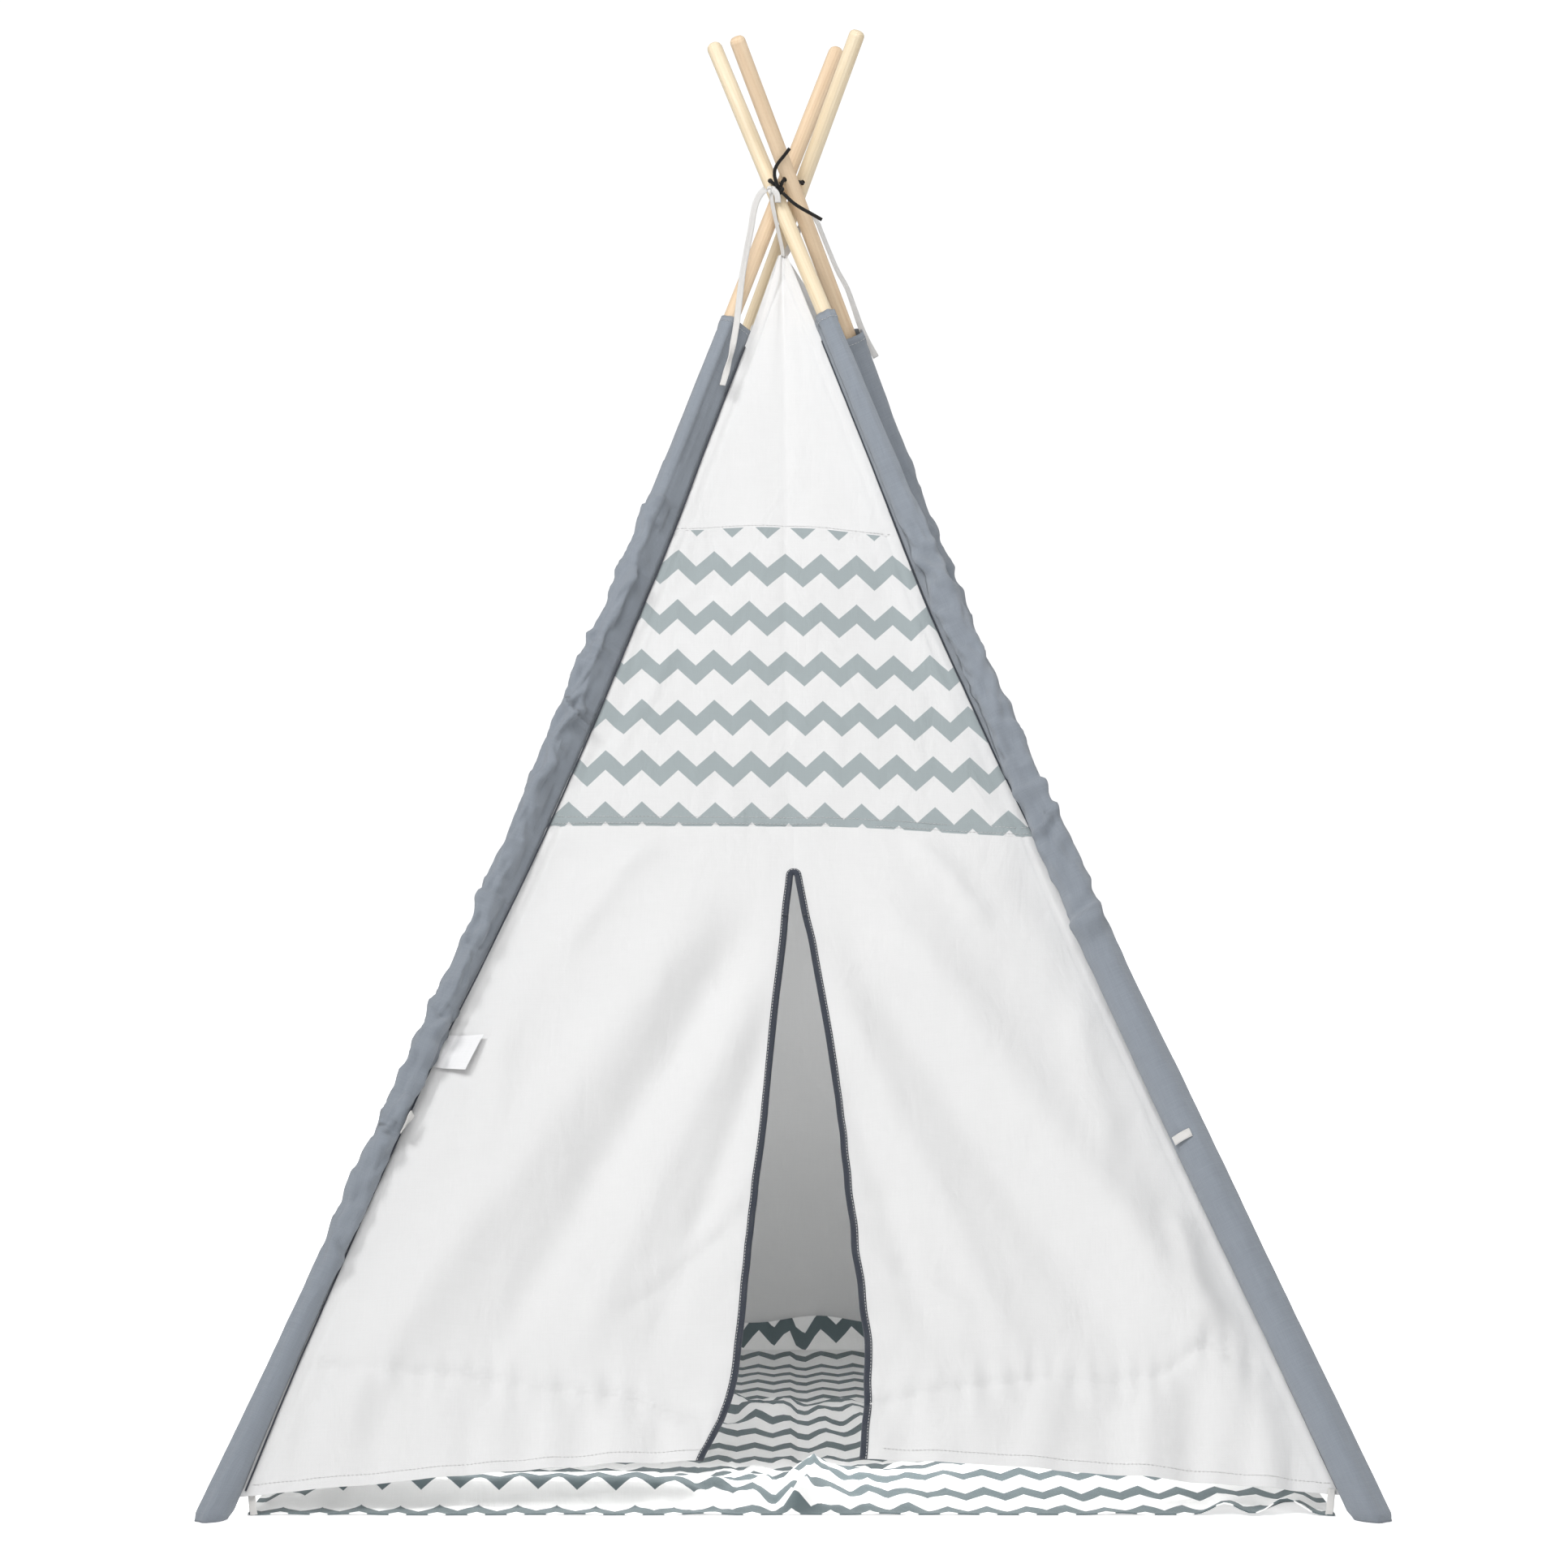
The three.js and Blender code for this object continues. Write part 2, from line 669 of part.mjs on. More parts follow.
sweep( 'lashing_tail_upper', [
	[ - 14.5, - 32.5, 1431.3 ], [ - 16.6, - 35, 1436 ], [ - 18.4, - 36.5, 1443 ], [ - 17.8, - 38, 1450 ],
	[ - 14, - 40, 1457 ], [ - 8, - 42.5, 1464 ], [ - 1, - 45, 1472.8 ],
], ROUND, 10, MATERIALS.elastic );

sweep( 'lashing_tail_lower', [
	[ - 8.6, - 31.8, 1423.2 ], [ - 3, - 33.5, 1417.5 ], [ 4, - 35.5, 1411 ], [ 13, - 37.5, 1404.8 ],
	[ 24, - 39, 1398.5 ], [ 36, - 40, 1391.5 ],
], ROUND, 10, MATERIALS.elastic );

// The tape from the front panel's tip, its knot on the front right pole, and its long loose end.
sweep( 'ribbon_front_tie', [
	[ - 9, - 13.5, 1357.5 ], [ - 11.5, - 17, 1370 ], [ - 15, - 21, 1385 ], [ - 19, - 26, 1402 ],
	[ - 21.5, - 28.5, 1415 ], [ - 22, - 28.5, 1423 ],
], TAPE, 12, MATERIALS.ribbon );

const BOW_KNOT = { x: - 22.5, y: - 28.5, z: 1427.5, radius: 3.8 };
add( 'ribbon_knot', new THREE.SphereGeometry( BOW_KNOT.radius, 10, 8 ), MATERIALS.ribbon )
	.position.set( BOW_KNOT.x, BOW_KNOT.y, BOW_KNOT.z );

sweep( 'ribbon_left_end', [
	[ - 28.5, - 31, 1428.5 ], [ - 34, - 31.5, 1423 ], [ - 39.5, - 32, 1413 ], [ - 43, - 33.5, 1399 ],
	[ - 45, - 35, 1385 ], [ - 49.5, - 39, 1361 ], [ - 55, - 48, 1329 ], [ - 59.5, - 58, 1289 ],
	[ - 62.5, - 66, 1264 ], [ - 68.5, - 77, 1230 ], [ - 77.5, - 88, 1196 ],
], TAPE, 28, MATERIALS.ribbon );

// The tape from the back panel's tip, round the rear right pole, and its loose end.
sweep( 'ribbon_rear', [
	[ - 7, 14.5, 1357.5 ], [ 1, 22, 1372 ], [ 9, 27.5, 1388 ], [ 17, 28, 1400 ], [ 25, 24, 1404 ],
	[ 31, 20, 1398 ], [ 36, 19.5, 1386 ], [ 43, 21.5, 1369 ], [ 55, 29, 1342 ], [ 66, 37, 1323 ],
	[ 74.5, 45, 1301 ], [ 82, 53, 1281 ], [ 91, 60, 1262 ], [ 101, 66, 1245 ],
], TAPE, 34, MATERIALS.ribbon );

export default tent;
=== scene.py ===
"""Looks of the play teepee: cloth, stitching, tapes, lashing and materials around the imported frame.

Lengths in the shape code are millimetres, as in the CAD source, and become metres in make_mesh.
"""

from collections import Counter
from functools import partial
from math import acos, atan2, cos, dist, exp, hypot, pi, radians, sin, sqrt
from random import Random

import bpy
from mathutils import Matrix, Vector, noise


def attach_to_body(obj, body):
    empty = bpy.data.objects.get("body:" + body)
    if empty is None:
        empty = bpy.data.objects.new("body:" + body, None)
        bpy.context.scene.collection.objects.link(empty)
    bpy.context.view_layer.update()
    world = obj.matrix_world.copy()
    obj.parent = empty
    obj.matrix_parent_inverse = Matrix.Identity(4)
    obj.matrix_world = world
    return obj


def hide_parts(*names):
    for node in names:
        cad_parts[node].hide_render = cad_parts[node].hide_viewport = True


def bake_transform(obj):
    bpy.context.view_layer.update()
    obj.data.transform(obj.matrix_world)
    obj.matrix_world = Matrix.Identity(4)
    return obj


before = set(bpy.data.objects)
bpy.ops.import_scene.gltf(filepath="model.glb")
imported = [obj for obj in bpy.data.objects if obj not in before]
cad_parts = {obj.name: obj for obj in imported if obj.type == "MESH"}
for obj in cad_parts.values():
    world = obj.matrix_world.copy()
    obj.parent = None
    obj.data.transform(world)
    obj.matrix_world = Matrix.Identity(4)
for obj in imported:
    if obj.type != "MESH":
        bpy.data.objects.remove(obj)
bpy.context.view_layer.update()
scene = bpy.context.scene
MM = 0.001

# ---- frame dimensions, as in the CAD

FOOT = 586
CROSSING_Z = 1425
JOINT_Z = (530, 1070)
BOW = (14, 11)
POLE_R = 9
JOINT_CORE = 12.3
SLEEVE_TOP = 1272
SEAM_LOW = 697
SEAM_HIGH = 1022
HEM_CORNER = 20
HEM_RISE = 35
BACK_HEM_RISE = 18
SLOPE = 1.09  # length along the cloth for each millimetre of height
PANEL_THICK = 0.8
DOOR_HALF = 85
TIP_X = -9
TIP_Y = 12
TIP_Z = 1355
TIP_HALF = 5
MAT_X = 552
MAT_Y = 562
SLIT_X = 3
SLIT_ROUND = 0.8
SLIT_TOP = 643.5
SLIT = {
    "left": [(54, -91), (79, -76), (111, -60.5), (143, -53.5), (208, -46.5), (274, -40), (340, -32.3),
             (374, -26.7), (440, -20.8), (508, -13.5), (542, -9), (577, -4.8), (597, -3.2),
             (608, -2.2), (618, -1.1), (629, 0.6), (643, 2.3)],
    "right": [(47, 69), (79, 71.6), (111, 74.2), (143, 75.8), (176, 75), (208, 70.1), (274, 61.9),
              (340, 54.5), (407, 47.3), (474, 37), (542, 24.4), (577, 18.6), (598, 12.6),
              (618, 8.9), (629, 6.8), (643, 3.8)],
}
BINDING = 7.5
FOLD_APEX = (3, 651)
FOLD_FOOT = 398
FOLD_FOOT_Z = 31.5
FLAP_TOP = 600
SIGN = {"left": -1, "right": 1}

# the corner of each foot, where the pole passes the crossing, its share of the bow, the height of its
# tip, the top of its sleeve, the way to its seam edge, the share of that way by height, the sleeve's
# radius by height, the heights between which the sleeve is bunched, and its wood
POLES = {
    "front_right": dict(
        foot=(1, -1), cross=(-17.5, -12), bow=1, top=1612, sleeve_top=1279, tail=(-17, 17), wood="cream",
        reach=[(0, 0.98), (530, 0.87), (680, 0.94), (760, 1.2), (930, 1.4), (1010, 1.22), (1080, 1.0),
               (1279, 0.9)],
        radius=[(0, 19.6), (300, 19.3), (530, 18.6), (700, 17.4), (840, 15.4), (1006, 13.8), (1172, 11.5),
                (1279, 11)],
        bunched=(600, 1060),
    ),
    "front_left": dict(
        foot=(-1, -1), cross=(-13.5, 12), bow=1, top=1612, sleeve_top=1274, tail=(28, 10), wood="tan",
        reach=[(0, 0.7), (130, 0.5), (300, 0.43), (458, 0.46), (560, 0.7), (650, 0.94), (800, 1.1),
               (1020, 1.1), (1100, 1.0), (1274, 1)],
        radius=[(0, 16.6), (130, 13.6), (300, 11.9), (422, 11.7), (530, 11.5), (850, 11.3), (1272, 11)],
        bunched=(270, 1060),
    ),
    "rear_right": dict(
        foot=(1, 1), cross=(5.5, -12), bow=0.2, top=1594, sleeve_top=1270, tail=(-17, -17), wood="tan",
        reach=[(0, 1.35), (530, 1.2), (1272, 0.9)],
        radius=[(0, 17), (300, 16.5), (840, 16), (1000, 17.2), (1270, 16.4)],
        bunched=(650, 1150),
    ),
    "rear_left": dict(
        foot=(-1, 1), cross=(8, 12), bow=1, top=1606, sleeve_top=1272, tail=(17, -17), wood="cream",
        reach=[(0, 1.35), (530, 1.2), (1272, 0.85)],
        radius=[(0, 17), (300, 16.5), (840, 14.5), (1272, 11)],
        bunched=(300, 1060),
    ),
}


def lerp(a, b, t):
    return a + (b - a) * t


def clamp(x, low=0.0, high=1.0):
    return max(low, min(high, x))


def smooth(x):
    x = clamp(x)
    return x * x * (3 - 2 * x)


def along(table, x):
    """The value at x of a line through a table of (x, value) pairs, level past its ends."""
    if x <= table[0][0]:
        return table[0][1]
    for (x0, v0), (x1, v1) in zip(table, table[1:]):
        if x <= x1:
            return lerp(v0, v1, (x - x0) / (x1 - x0))
    return table[-1][1]


def soft_along(table, x, spread):
    """The same line with its corners eased over a spread."""
    return sum(along(table, x + k * spread) for k in (-1, -0.5, 0, 0.5, 1)) / 5


def uneven(x, y, z):
    """Smooth unevenness, from about -1 to 1."""
    return noise.noise(Vector((x, y, z)))


def bell(x, width):
    """1 at 0, falling to 1/e at a width to either side."""
    return exp(-((x / width) ** 2))


def fade(x, reach):
    """1 at 0, and dying away to both sides."""
    return exp(-abs(x) / reach)


def corners(pole):
    """The four points of a pole's axis: its foot, its two bowed joints and its tip."""
    fx, fy = pole["foot"]
    foot = Vector((FOOT * fx, FOOT * fy, 0))
    cross = Vector((*pole["cross"], CROSSING_Z))
    points = [foot]
    for z, bow in zip(JOINT_Z, BOW):
        inward = Vector((bow * fx, bow * fy, 0)) * pole["bow"]
        points.append(foot.lerp(cross, z / CROSSING_Z) - inward)
    reach = (pole["top"] - JOINT_Z[1]) / (CROSSING_Z - JOINT_Z[1])
    return points + [points[2].lerp(cross, reach)]


for shape in POLES.values():
    shape["corners"] = corners(shape)


def axis_at(name, z):
    points = POLES[name]["corners"]
    i = 0 if z < JOINT_Z[0] else 1 if z < JOINT_Z[1] else 2
    a, b = points[i], points[i + 1]
    return a.lerp(b, (z - a.z) / (b.z - a.z))


def soft_axis_at(name, z):
    return sum((axis_at(name, z + k) for k in (-18, -9, 0, 9, 18)), Vector()) / 5


def direction_at(name, z):
    return (soft_axis_at(name, z + 2) - soft_axis_at(name, z - 2)).normalized()


def seam_at(name, z):
    """The point where a sleeve is sewn to the panels beside it."""
    pole = POLES[name]
    reach = soft_along(pole["reach"], z, 30)
    return soft_axis_at(name, z) + Vector((pole["tail"][0], pole["tail"][1], 0)) * reach


# ---- mesh tools


def add_object(name, data):
    obj = bpy.data.objects.new(name, data)
    scene.collection.objects.link(obj)
    return obj


def make_mesh(name, points, faces, material, uvs=None):
    """A mesh object from points in millimetres, with cloth coordinates in millimetres where given."""
    mesh = bpy.data.meshes.new(name)
    mesh.from_pydata([tuple(p * MM) for p in points], [], faces)
    if uvs is not None:
        layer = mesh.uv_layers.new(name="cloth")
        for loop in mesh.loops:
            u, v = uvs[loop.vertex_index]
            layer.data[loop.index].uv = (u * MM, v * MM)
    mesh.polygons.foreach_set("use_smooth", [True] * len(mesh.polygons))
    mesh.materials.append(material)
    return add_object(name, mesh)


def grid_faces(rows, columns, wrap=False):
    faces = []
    for start in range(0, (rows - 1) * columns, columns):
        for c in range(columns if wrap else columns - 1):
            a, b = start + c, start + (c + 1) % columns
            faces.append((a, b, b + columns, a + columns))
    return faces


def turned_over(faces):
    return [tuple(reversed(face)) for face in faces]


def catmull(route, step=1.6):
    """Points at even spacing on a centripetal Catmull-Rom curve through the route."""
    points = [Vector(p) for p in route]
    padded = [2 * points[0] - points[1], *points, 2 * points[-1] - points[-2]]
    dense = []
    for p0, p1, p2, p3 in zip(padded, padded[1:], padded[2:], padded[3:]):
        pairs = ((p0, p1), (p1, p2), (p2, p3))
        t = [0.0]
        for a, b in pairs:
            t.append(t[-1] + max((b - a).length, 1e-6) ** 0.5)
        for k in range(16):
            x = lerp(t[1], t[2], k / 16)
            near = [a.lerp(b, (x - t[i]) / (t[i + 1] - t[i])) for i, (a, b) in enumerate(pairs)]
            mid = [near[i].lerp(near[i + 1], (x - t[i]) / (t[i + 2] - t[i])) for i in (0, 1)]
            dense.append(mid[0].lerp(mid[1], (x - t[1]) / (t[2] - t[1])))
    dense.append(points[-1])
    total = sum((b - a).length for a, b in zip(dense, dense[1:]))
    count = max(2, round(total / step))
    spacing = total / count
    out = [dense[0]]
    travelled = 0.0
    for a, b in zip(dense, dense[1:]):
        length = (b - a).length
        while len(out) < count and travelled + length >= spacing * len(out):
            out.append(a.lerp(b, (spacing * len(out) - travelled) / max(length, 1e-9)))
        travelled += length
    return out + [dense[-1]]


def sweep(name, path, section, material, facing=None, cap=True):
    """A tube along a path. section is a list of (across, out) points in millimetres.

    facing(t) gives the direction that the section's out axis leans to at a share t of the way;
    without it the section is carried along the path without twist.
    """
    last = len(path) - 1
    points = []
    uvs = []
    travelled = 0.0
    out = Vector((0, -1, 0.2))
    perimeter = [0.0]
    for a, b in zip(section, section[1:]):
        perimeter.append(perimeter[-1] + dist(a, b))
    for i, p in enumerate(path):
        ahead = (path[min(i + 1, last)] - path[max(i - 1, 0)]).normalized()
        if facing is not None:
            out = Vector(facing(i / last))
        out = (out - ahead * out.dot(ahead)).normalized()
        across = out.cross(ahead)
        if i:
            travelled += (p - path[i - 1]).length
        for (s, t), run in zip(section, perimeter):
            points.append(p + across * s + out * t)
            uvs.append((run, travelled))
    n = len(section)
    faces = grid_faces(len(path), n, wrap=True)
    if cap:
        faces += [tuple(reversed(range(n))), tuple(range(last * n, last * n + n))]
    return make_mesh(name, points, faces, material, uvs)


def circle(radius, sides, squash=1.0):
    turn = 2 * pi / sides
    return [(radius * cos(i * turn), radius * squash * sin(i * turn)) for i in range(sides)]


def tape_section(width, thickness):
    """A flat tape with soft edges, slightly thicker at its woven selvages."""
    half = width / 2
    top = [(-half, 0), (-half + 0.35, thickness * 0.5), (-half * 0.5, thickness * 0.42),
           (0, thickness * 0.4), (half * 0.5, thickness * 0.42), (half - 0.35, thickness * 0.5)]
    bottom = [(half, 0)] + [(s, -t) for s, t in reversed(top[1:])]
    return top + bottom


# ---- materials


class Shader:
    """A material with short calls for its nodes."""

    def __init__(self, name, roughness=0.8, metallic=0.0, sheen=0.0, specular=0.3):
        self.material = bpy.data.materials.new(name)
        self.material.use_nodes = True
        self.tree = self.material.node_tree
        self.bsdf = self.tree.nodes["Principled BSDF"]
        values = {"Metallic": metallic, "Roughness": roughness, "Specular IOR Level": specular,
                  "Sheen Weight": sheen, "Sheen Roughness": 0.5}
        for socket, value in values.items():
            self.bsdf.inputs[socket].default_value = value

    def node(self, kind, settings=None, **inputs):
        made = self.tree.nodes.new("ShaderNode" + kind)
        for key, value in (settings or {}).items():
            setattr(made, key, value)
        for key, value in inputs.items():
            socket = made.inputs[int(key[1:]) if key[1:].isdigit() else key]
            if isinstance(value, bpy.types.NodeSocket):
                self.tree.links.new(value, socket)
            else:
                socket.default_value = value
        return made

    def math(self, operation, a, b=0.0, c=0.0):
        return self.node("Math", {"operation": operation}, i0=a, i1=b, i2=c).outputs[0]

    def ripples(self, value, pitch):
        """A sine wave along a value in metres, with its pitch in millimetres."""
        return self.math("SINE", self.math("MULTIPLY", value, 2 * pi / (pitch * MM)))

    def noise(self, vector, scale, detail=3.0, rough=0.55, distortion=0.0):
        return self.node("TexNoise", Vector=vector, Scale=scale, Detail=detail, Roughness=rough,
                         Distortion=distortion).outputs["Fac"]

    def stretch(self, vector, scale, rotation=(0, 0, 0)):
        return self.node("Mapping", Vector=vector, Scale=scale, Rotation=rotation).outputs[0]

    def ramp(self, factor, low, high, to_low=0.0, to_high=1.0):
        return self.node("MapRange", {"clamp": True}, Value=factor, i1=low, i2=high, i3=to_low,
                         i4=to_high).outputs[0]

    def mix(self, factor, a, b, blend="MIX"):
        return self.node("Mix", {"data_type": "RGBA", "blend_type": blend}, i0=factor, i6=a, i7=b).outputs[2]

    def tint(self, colour, level):
        grey = self.node("CombineColor", i0=level, i1=level, i2=level).outputs[0]
        return self.mix(1.0, colour, grey, "MULTIPLY")

    def bump(self, height, distance, before=None):
        under = {} if before is None else {"Normal": before}
        return self.node("Bump", Height=height, Distance=distance, Strength=1.0, **under).outputs[0]

    def cloth_axes(self):
        """The cloth coordinates: both together, then across and along."""
        uv = self.node("UVMap", {"uv_map": "cloth"}).outputs[0]
        split = self.node("SeparateXYZ", Vector=uv)
        return uv, split.outputs[0], split.outputs[1]

    def along_axis(self, axis):
        """How far a point of the object lies along an axis."""
        place = self.node("TexCoord").outputs["Object"]
        dot = self.node("VectorMath", {"operation": "DOT_PRODUCT"}, i0=place, i1=tuple(axis))
        return dot.outputs["Value"]

    def connect(self, **sockets):
        for key, value in sockets.items():
            self.tree.links.new(value, self.bsdf.inputs[key.replace("_", " ")])
        return self.material


def linear(r, g, b):
    """A linear colour from its 0-255 screen value."""

    def channel(value):
        value /= 255
        return value / 12.92 if value <= 0.04045 else ((value + 0.055) / 1.055) ** 2.4

    return (channel(r), channel(g), channel(b), 1.0)


def shaded(colour, factor):
    return tuple(c * factor for c in colour[:3]) + (1.0,)


def cloth_material(name, colour, thread=1.1, relief=0.00012, crease=0.0007, pattern=None, tone_and_groove_shade=0.03,
                   roughness=0.9, sheen=0.2):
    """Plain-woven cotton: crossing threads, slubs, soft creases and a faint change of tone."""
    s = Shader(name, roughness=roughness, sheen=sheen, specular=0.2)
    uv, u, v = s.cloth_axes()
    weave = s.math("MULTIPLY", s.ripples(u, thread), s.ripples(v, thread))
    slub_u = s.noise(s.stretch(uv, (30, 900, 1)), 1.0, detail=2)
    slub_v = s.noise(s.stretch(uv, (900, 30, 1)), 1.0, detail=2)
    slubs = s.math("ADD", slub_u, slub_v)
    light = s.ramp(slubs, 0.7, 1.3, 1 - tone_and_groove_shade, 1 + tone_and_groove_shade)
    broad = s.ramp(s.noise(uv, 7.0, detail=4), 0.3, 0.7, 1 - tone_and_groove_shade * 0.6, 1 + tone_and_groove_shade * 0.6)
    base = colour if pattern is None else pattern(s, u, v)
    creases = s.noise(s.stretch(uv, (1, 0.6, 1), (0, 0, 0.5)), 22.0, rough=0.5, distortion=0.6)
    normal = s.bump(creases, crease * 6)
    normal = s.bump(slubs, relief * 1.2, normal)
    normal = s.bump(weave, relief, normal)
    rough = s.ramp(slubs, 0.6, 1.4, roughness - 0.06, min(1.0, roughness + 0.06))
    tinted = s.tint(base, s.math("MULTIPLY", light, broad))
    return s.connect(Base_Color=tinted, Normal=normal, Roughness=rough)


def chevron_pattern(period, amplitude, stripe, repeat, ground, phase, ink):
    """Zigzag stripes in cloth coordinates, in metres."""

    def build(s, u, v):
        wave = s.math("PINGPONG", u, period / 2)
        shifted = s.math("MULTIPLY_ADD", wave, 2 * amplitude / period, v)
        offset = s.math("ADD", shifted, phase)
        inside = s.math("PINGPONG", s.math("DIVIDE", offset, repeat), 0.5)
        seam_shadow = stripe / repeat / 2
        mask = s.ramp(inside, seam_shadow - 0.008, seam_shadow + 0.008, 1.0, 0.0)
        return s.mix(mask, ground, ink)

    return build


def wood_material(name, colour, dark, direction):
    """Sanded pine with its grain along the pole."""
    s = Shader(name, roughness=0.5, specular=0.4)
    axis = direction.normalized()
    side = axis.cross(Vector((0, 1, 0))).normalized()
    place = [s.math("MULTIPLY", s.along_axis(vector), scale)
             for vector, scale in ((side, 1.0), (axis.cross(side), 1.0), (axis, 0.03))]
    grain = s.node("CombineXYZ", i0=place[0], i1=place[1], i2=place[2]).outputs[0]
    rings = s.noise(grain, 150.0, rough=0.5, distortion=0.8)
    fibres = s.noise(s.stretch(grain, (1, 1, 3)), 1100.0, detail=2, rough=0.5)
    broad = s.noise(grain, 26.0, detail=2)
    base = s.mix(s.ramp(rings, 0.35, 0.72), colour, dark)
    base = s.mix(s.ramp(fibres, 0.4, 0.8, 0.0, 0.3), base, dark)
    base = s.mix(s.ramp(broad, 0.35, 0.7, 0.0, 0.35), base, shaded(colour, 1.06))
    normal = s.bump(rings, 0.00012, s.bump(fibres, 0.00012))
    return s.connect(Base_Color=base, Normal=normal, Roughness=s.ramp(fibres, 0.3, 0.7, 0.46, 0.6))


def braid_material(name, colour):
    """Round braid: two sets of strands that cross."""
    s = Shader(name, roughness=0.7, sheen=0.08, specular=0.3)
    _, u, v = s.cloth_axes()
    strands = [s.ripples(s.math(way, u, v), 1.6) for way in ("ADD", "SUBTRACT")]
    braid = s.math("MAXIMUM", *strands)
    # the strands are painted lighter on their crests and darker in the grooves between them: painted
    # highlight and painted shade
    base = s.mix(s.ramp(braid, -0.5, 1.0), shaded(colour, 0.45), shaded(colour, 1.5))
    return s.connect(Base_Color=base, Normal=s.bump(braid, 0.0003))


def twill_material(name, colour, pitch=0.9, tone_and_groove_shade=0.06):
    """Herringbone tape."""
    s = Shader(name, roughness=0.85, sheen=0.25, specular=0.25)
    uv, u, v = s.cloth_axes()
    ribs = s.ripples(s.math("ADD", s.math("PINGPONG", u, 0.002), v), pitch)
    normal = s.bump(ribs, 0.0002, s.bump(s.noise(uv, 900.0), 0.00015))
    # the grooves between the ribs are painted darker by that share: painted shade
    return s.connect(Base_Color=s.tint(colour, s.ramp(ribs, -1, 1, 1 - tone_and_groove_shade, 1.0)), Normal=normal)


def steel_material(name, direction):
    s = Shader(name, roughness=0.35, metallic=1.0)
    run = s.along_axis(direction.normalized())
    lines = s.noise(s.node("CombineXYZ", i0=run).outputs[0], 3000.0, detail=2)
    base = s.mix(lines, linear(168, 170, 174), linear(198, 200, 204))
    rough = s.ramp(lines, 0.3, 0.7, 0.28, 0.42)
    return s.connect(Base_Color=base, Roughness=rough, Normal=s.bump(lines, 0.00005))


WHITE = linear(223, 223, 223)
BAND_INK = linear(158, 167, 169)
MAT_INK = linear(99, 112, 115)
MAT_WHITE = linear(248, 248, 247)
PRINT = dict(period=0.040, amplitude=0.020, stripe=0.024, repeat=0.0618)
COTTON = cloth_material("white_cotton", WHITE, tone_and_groove_shade=0.014, relief=0.00007, crease=0.0005)
SLEEVE_CLOTH = cloth_material("sleeve_canvas", linear(142, 149, 158), thread=1.3, relief=0.00016, tone_and_groove_shade=0.06,
                              roughness=0.85, sheen=0.25)
BAND_CLOTH = cloth_material("chevron_cotton", WHITE, tone_and_groove_shade=0.018, relief=0.00008,
                            pattern=chevron_pattern(phase=0.0272, ground=WHITE, ink=BAND_INK, **PRINT))
MAT_CLOTH = cloth_material("mat_cotton", MAT_WHITE, crease=0.0009, tone_and_groove_shade=0.018,
                           pattern=chevron_pattern(phase=0.0408, ground=MAT_WHITE, ink=MAT_INK, **PRINT))
BINDING_TAPE = twill_material("binding_tape", linear(64, 70, 83), tone_and_groove_shade=0.25)
COTTON_TAPE = twill_material("cotton_tape", linear(252, 250, 247), tone_and_groove_shade=0.03)
LABEL_SATIN = cloth_material("label_satin", linear(238, 238, 239), thread=0.5, relief=0.00004, crease=0.0001,
                             roughness=0.5, sheen=0.1)
THREAD = twill_material("white_thread", linear(240, 240, 240), pitch=0.6)
ELASTIC = braid_material("black_elastic", linear(22, 20, 18))

WOODS = {
    "cream": (linear(232, 217, 190), linear(219, 199, 165)),
    "tan": (linear(228, 205, 175), linear(212, 184, 152)),
}
for name, pole in POLES.items():
    run = pole["corners"][3] - pole["corners"][0]
    wood = wood_material(f"pine_{name}", *WOODS[pole["wood"]], run)
    steel = steel_material(f"steel_{name}", run)
    for part in ("bottom", "middle", "top"):
        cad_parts[f"pole_{name}_{part}"].material_slots[0].material = wood
    for part in ("lower", "upper"):
        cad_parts[f"ferrule_{name}_{part}"].material_slots[0].material = steel

# ---- how much of the cloth each joint's body would carry; attach works these shares out but does not apply them

FOLD_SPREAD = radians(19.5)


def fold_share(p):
    """0 on the front poles and 1 on the rear ones, by the angle about the crossing."""
    angle = atan2(p.y, max(1.0, CROSSING_Z - p.z))
    return clamp((angle + FOLD_SPREAD) / (2 * FOLD_SPREAD))


def door_share(hand):
    """1 on the cloth that turns with a door flap, and 0 outside its fold line and above it."""
    sign = SIGN[hand]
    foot = Vector((sign * FOLD_FOOT, FOLD_FOOT_Z))
    line = (Vector(FOLD_APEX) - foot).normalized()

    def share(p):
        away = Vector((p.x, p.z)) - foot
        inside = sign * (line.x * away.y - line.y * away.x)
        return smooth((inside + 7) / 16) * smooth((FLAP_TOP + 6 - p.z) / 22)

    return share


# what a piece can follow besides one body: the body that it shares with front_frame, and its share of
# each point
FOLLOW = {
    "fold": ("rear_frame", fold_share),
    "door_left": ("door_left", door_share("left")),
    "door_right": ("door_right", door_share("right")),
    "front_tip": ("rear_frame", lambda p: 0.5 * smooth((p.z - 1230) / 110)),
    "rear_tip": ("rear_frame", lambda p: 1 - 0.5 * smooth((p.z - 1230) / 110)),
    "lashing": ("rear_frame", lambda p: smooth((p.x + 14) / 20)),
}


def attach(obj, follow, slot, *nodes):
    """Hides the CAD nodes that a piece stands for and parents the piece to its one body; for a piece shared
    between bodies it only bakes its transform and works out each point's share, which is not applied. slot is
    not used.
    """
    if nodes:
        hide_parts(*nodes)
    if follow in FOLLOW:
        body, share = FOLLOW[follow]
        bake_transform(obj)
        shares = [share(v.co / MM) for v in obj.data.vertices]
    else:
        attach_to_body(obj, follow)
    return obj


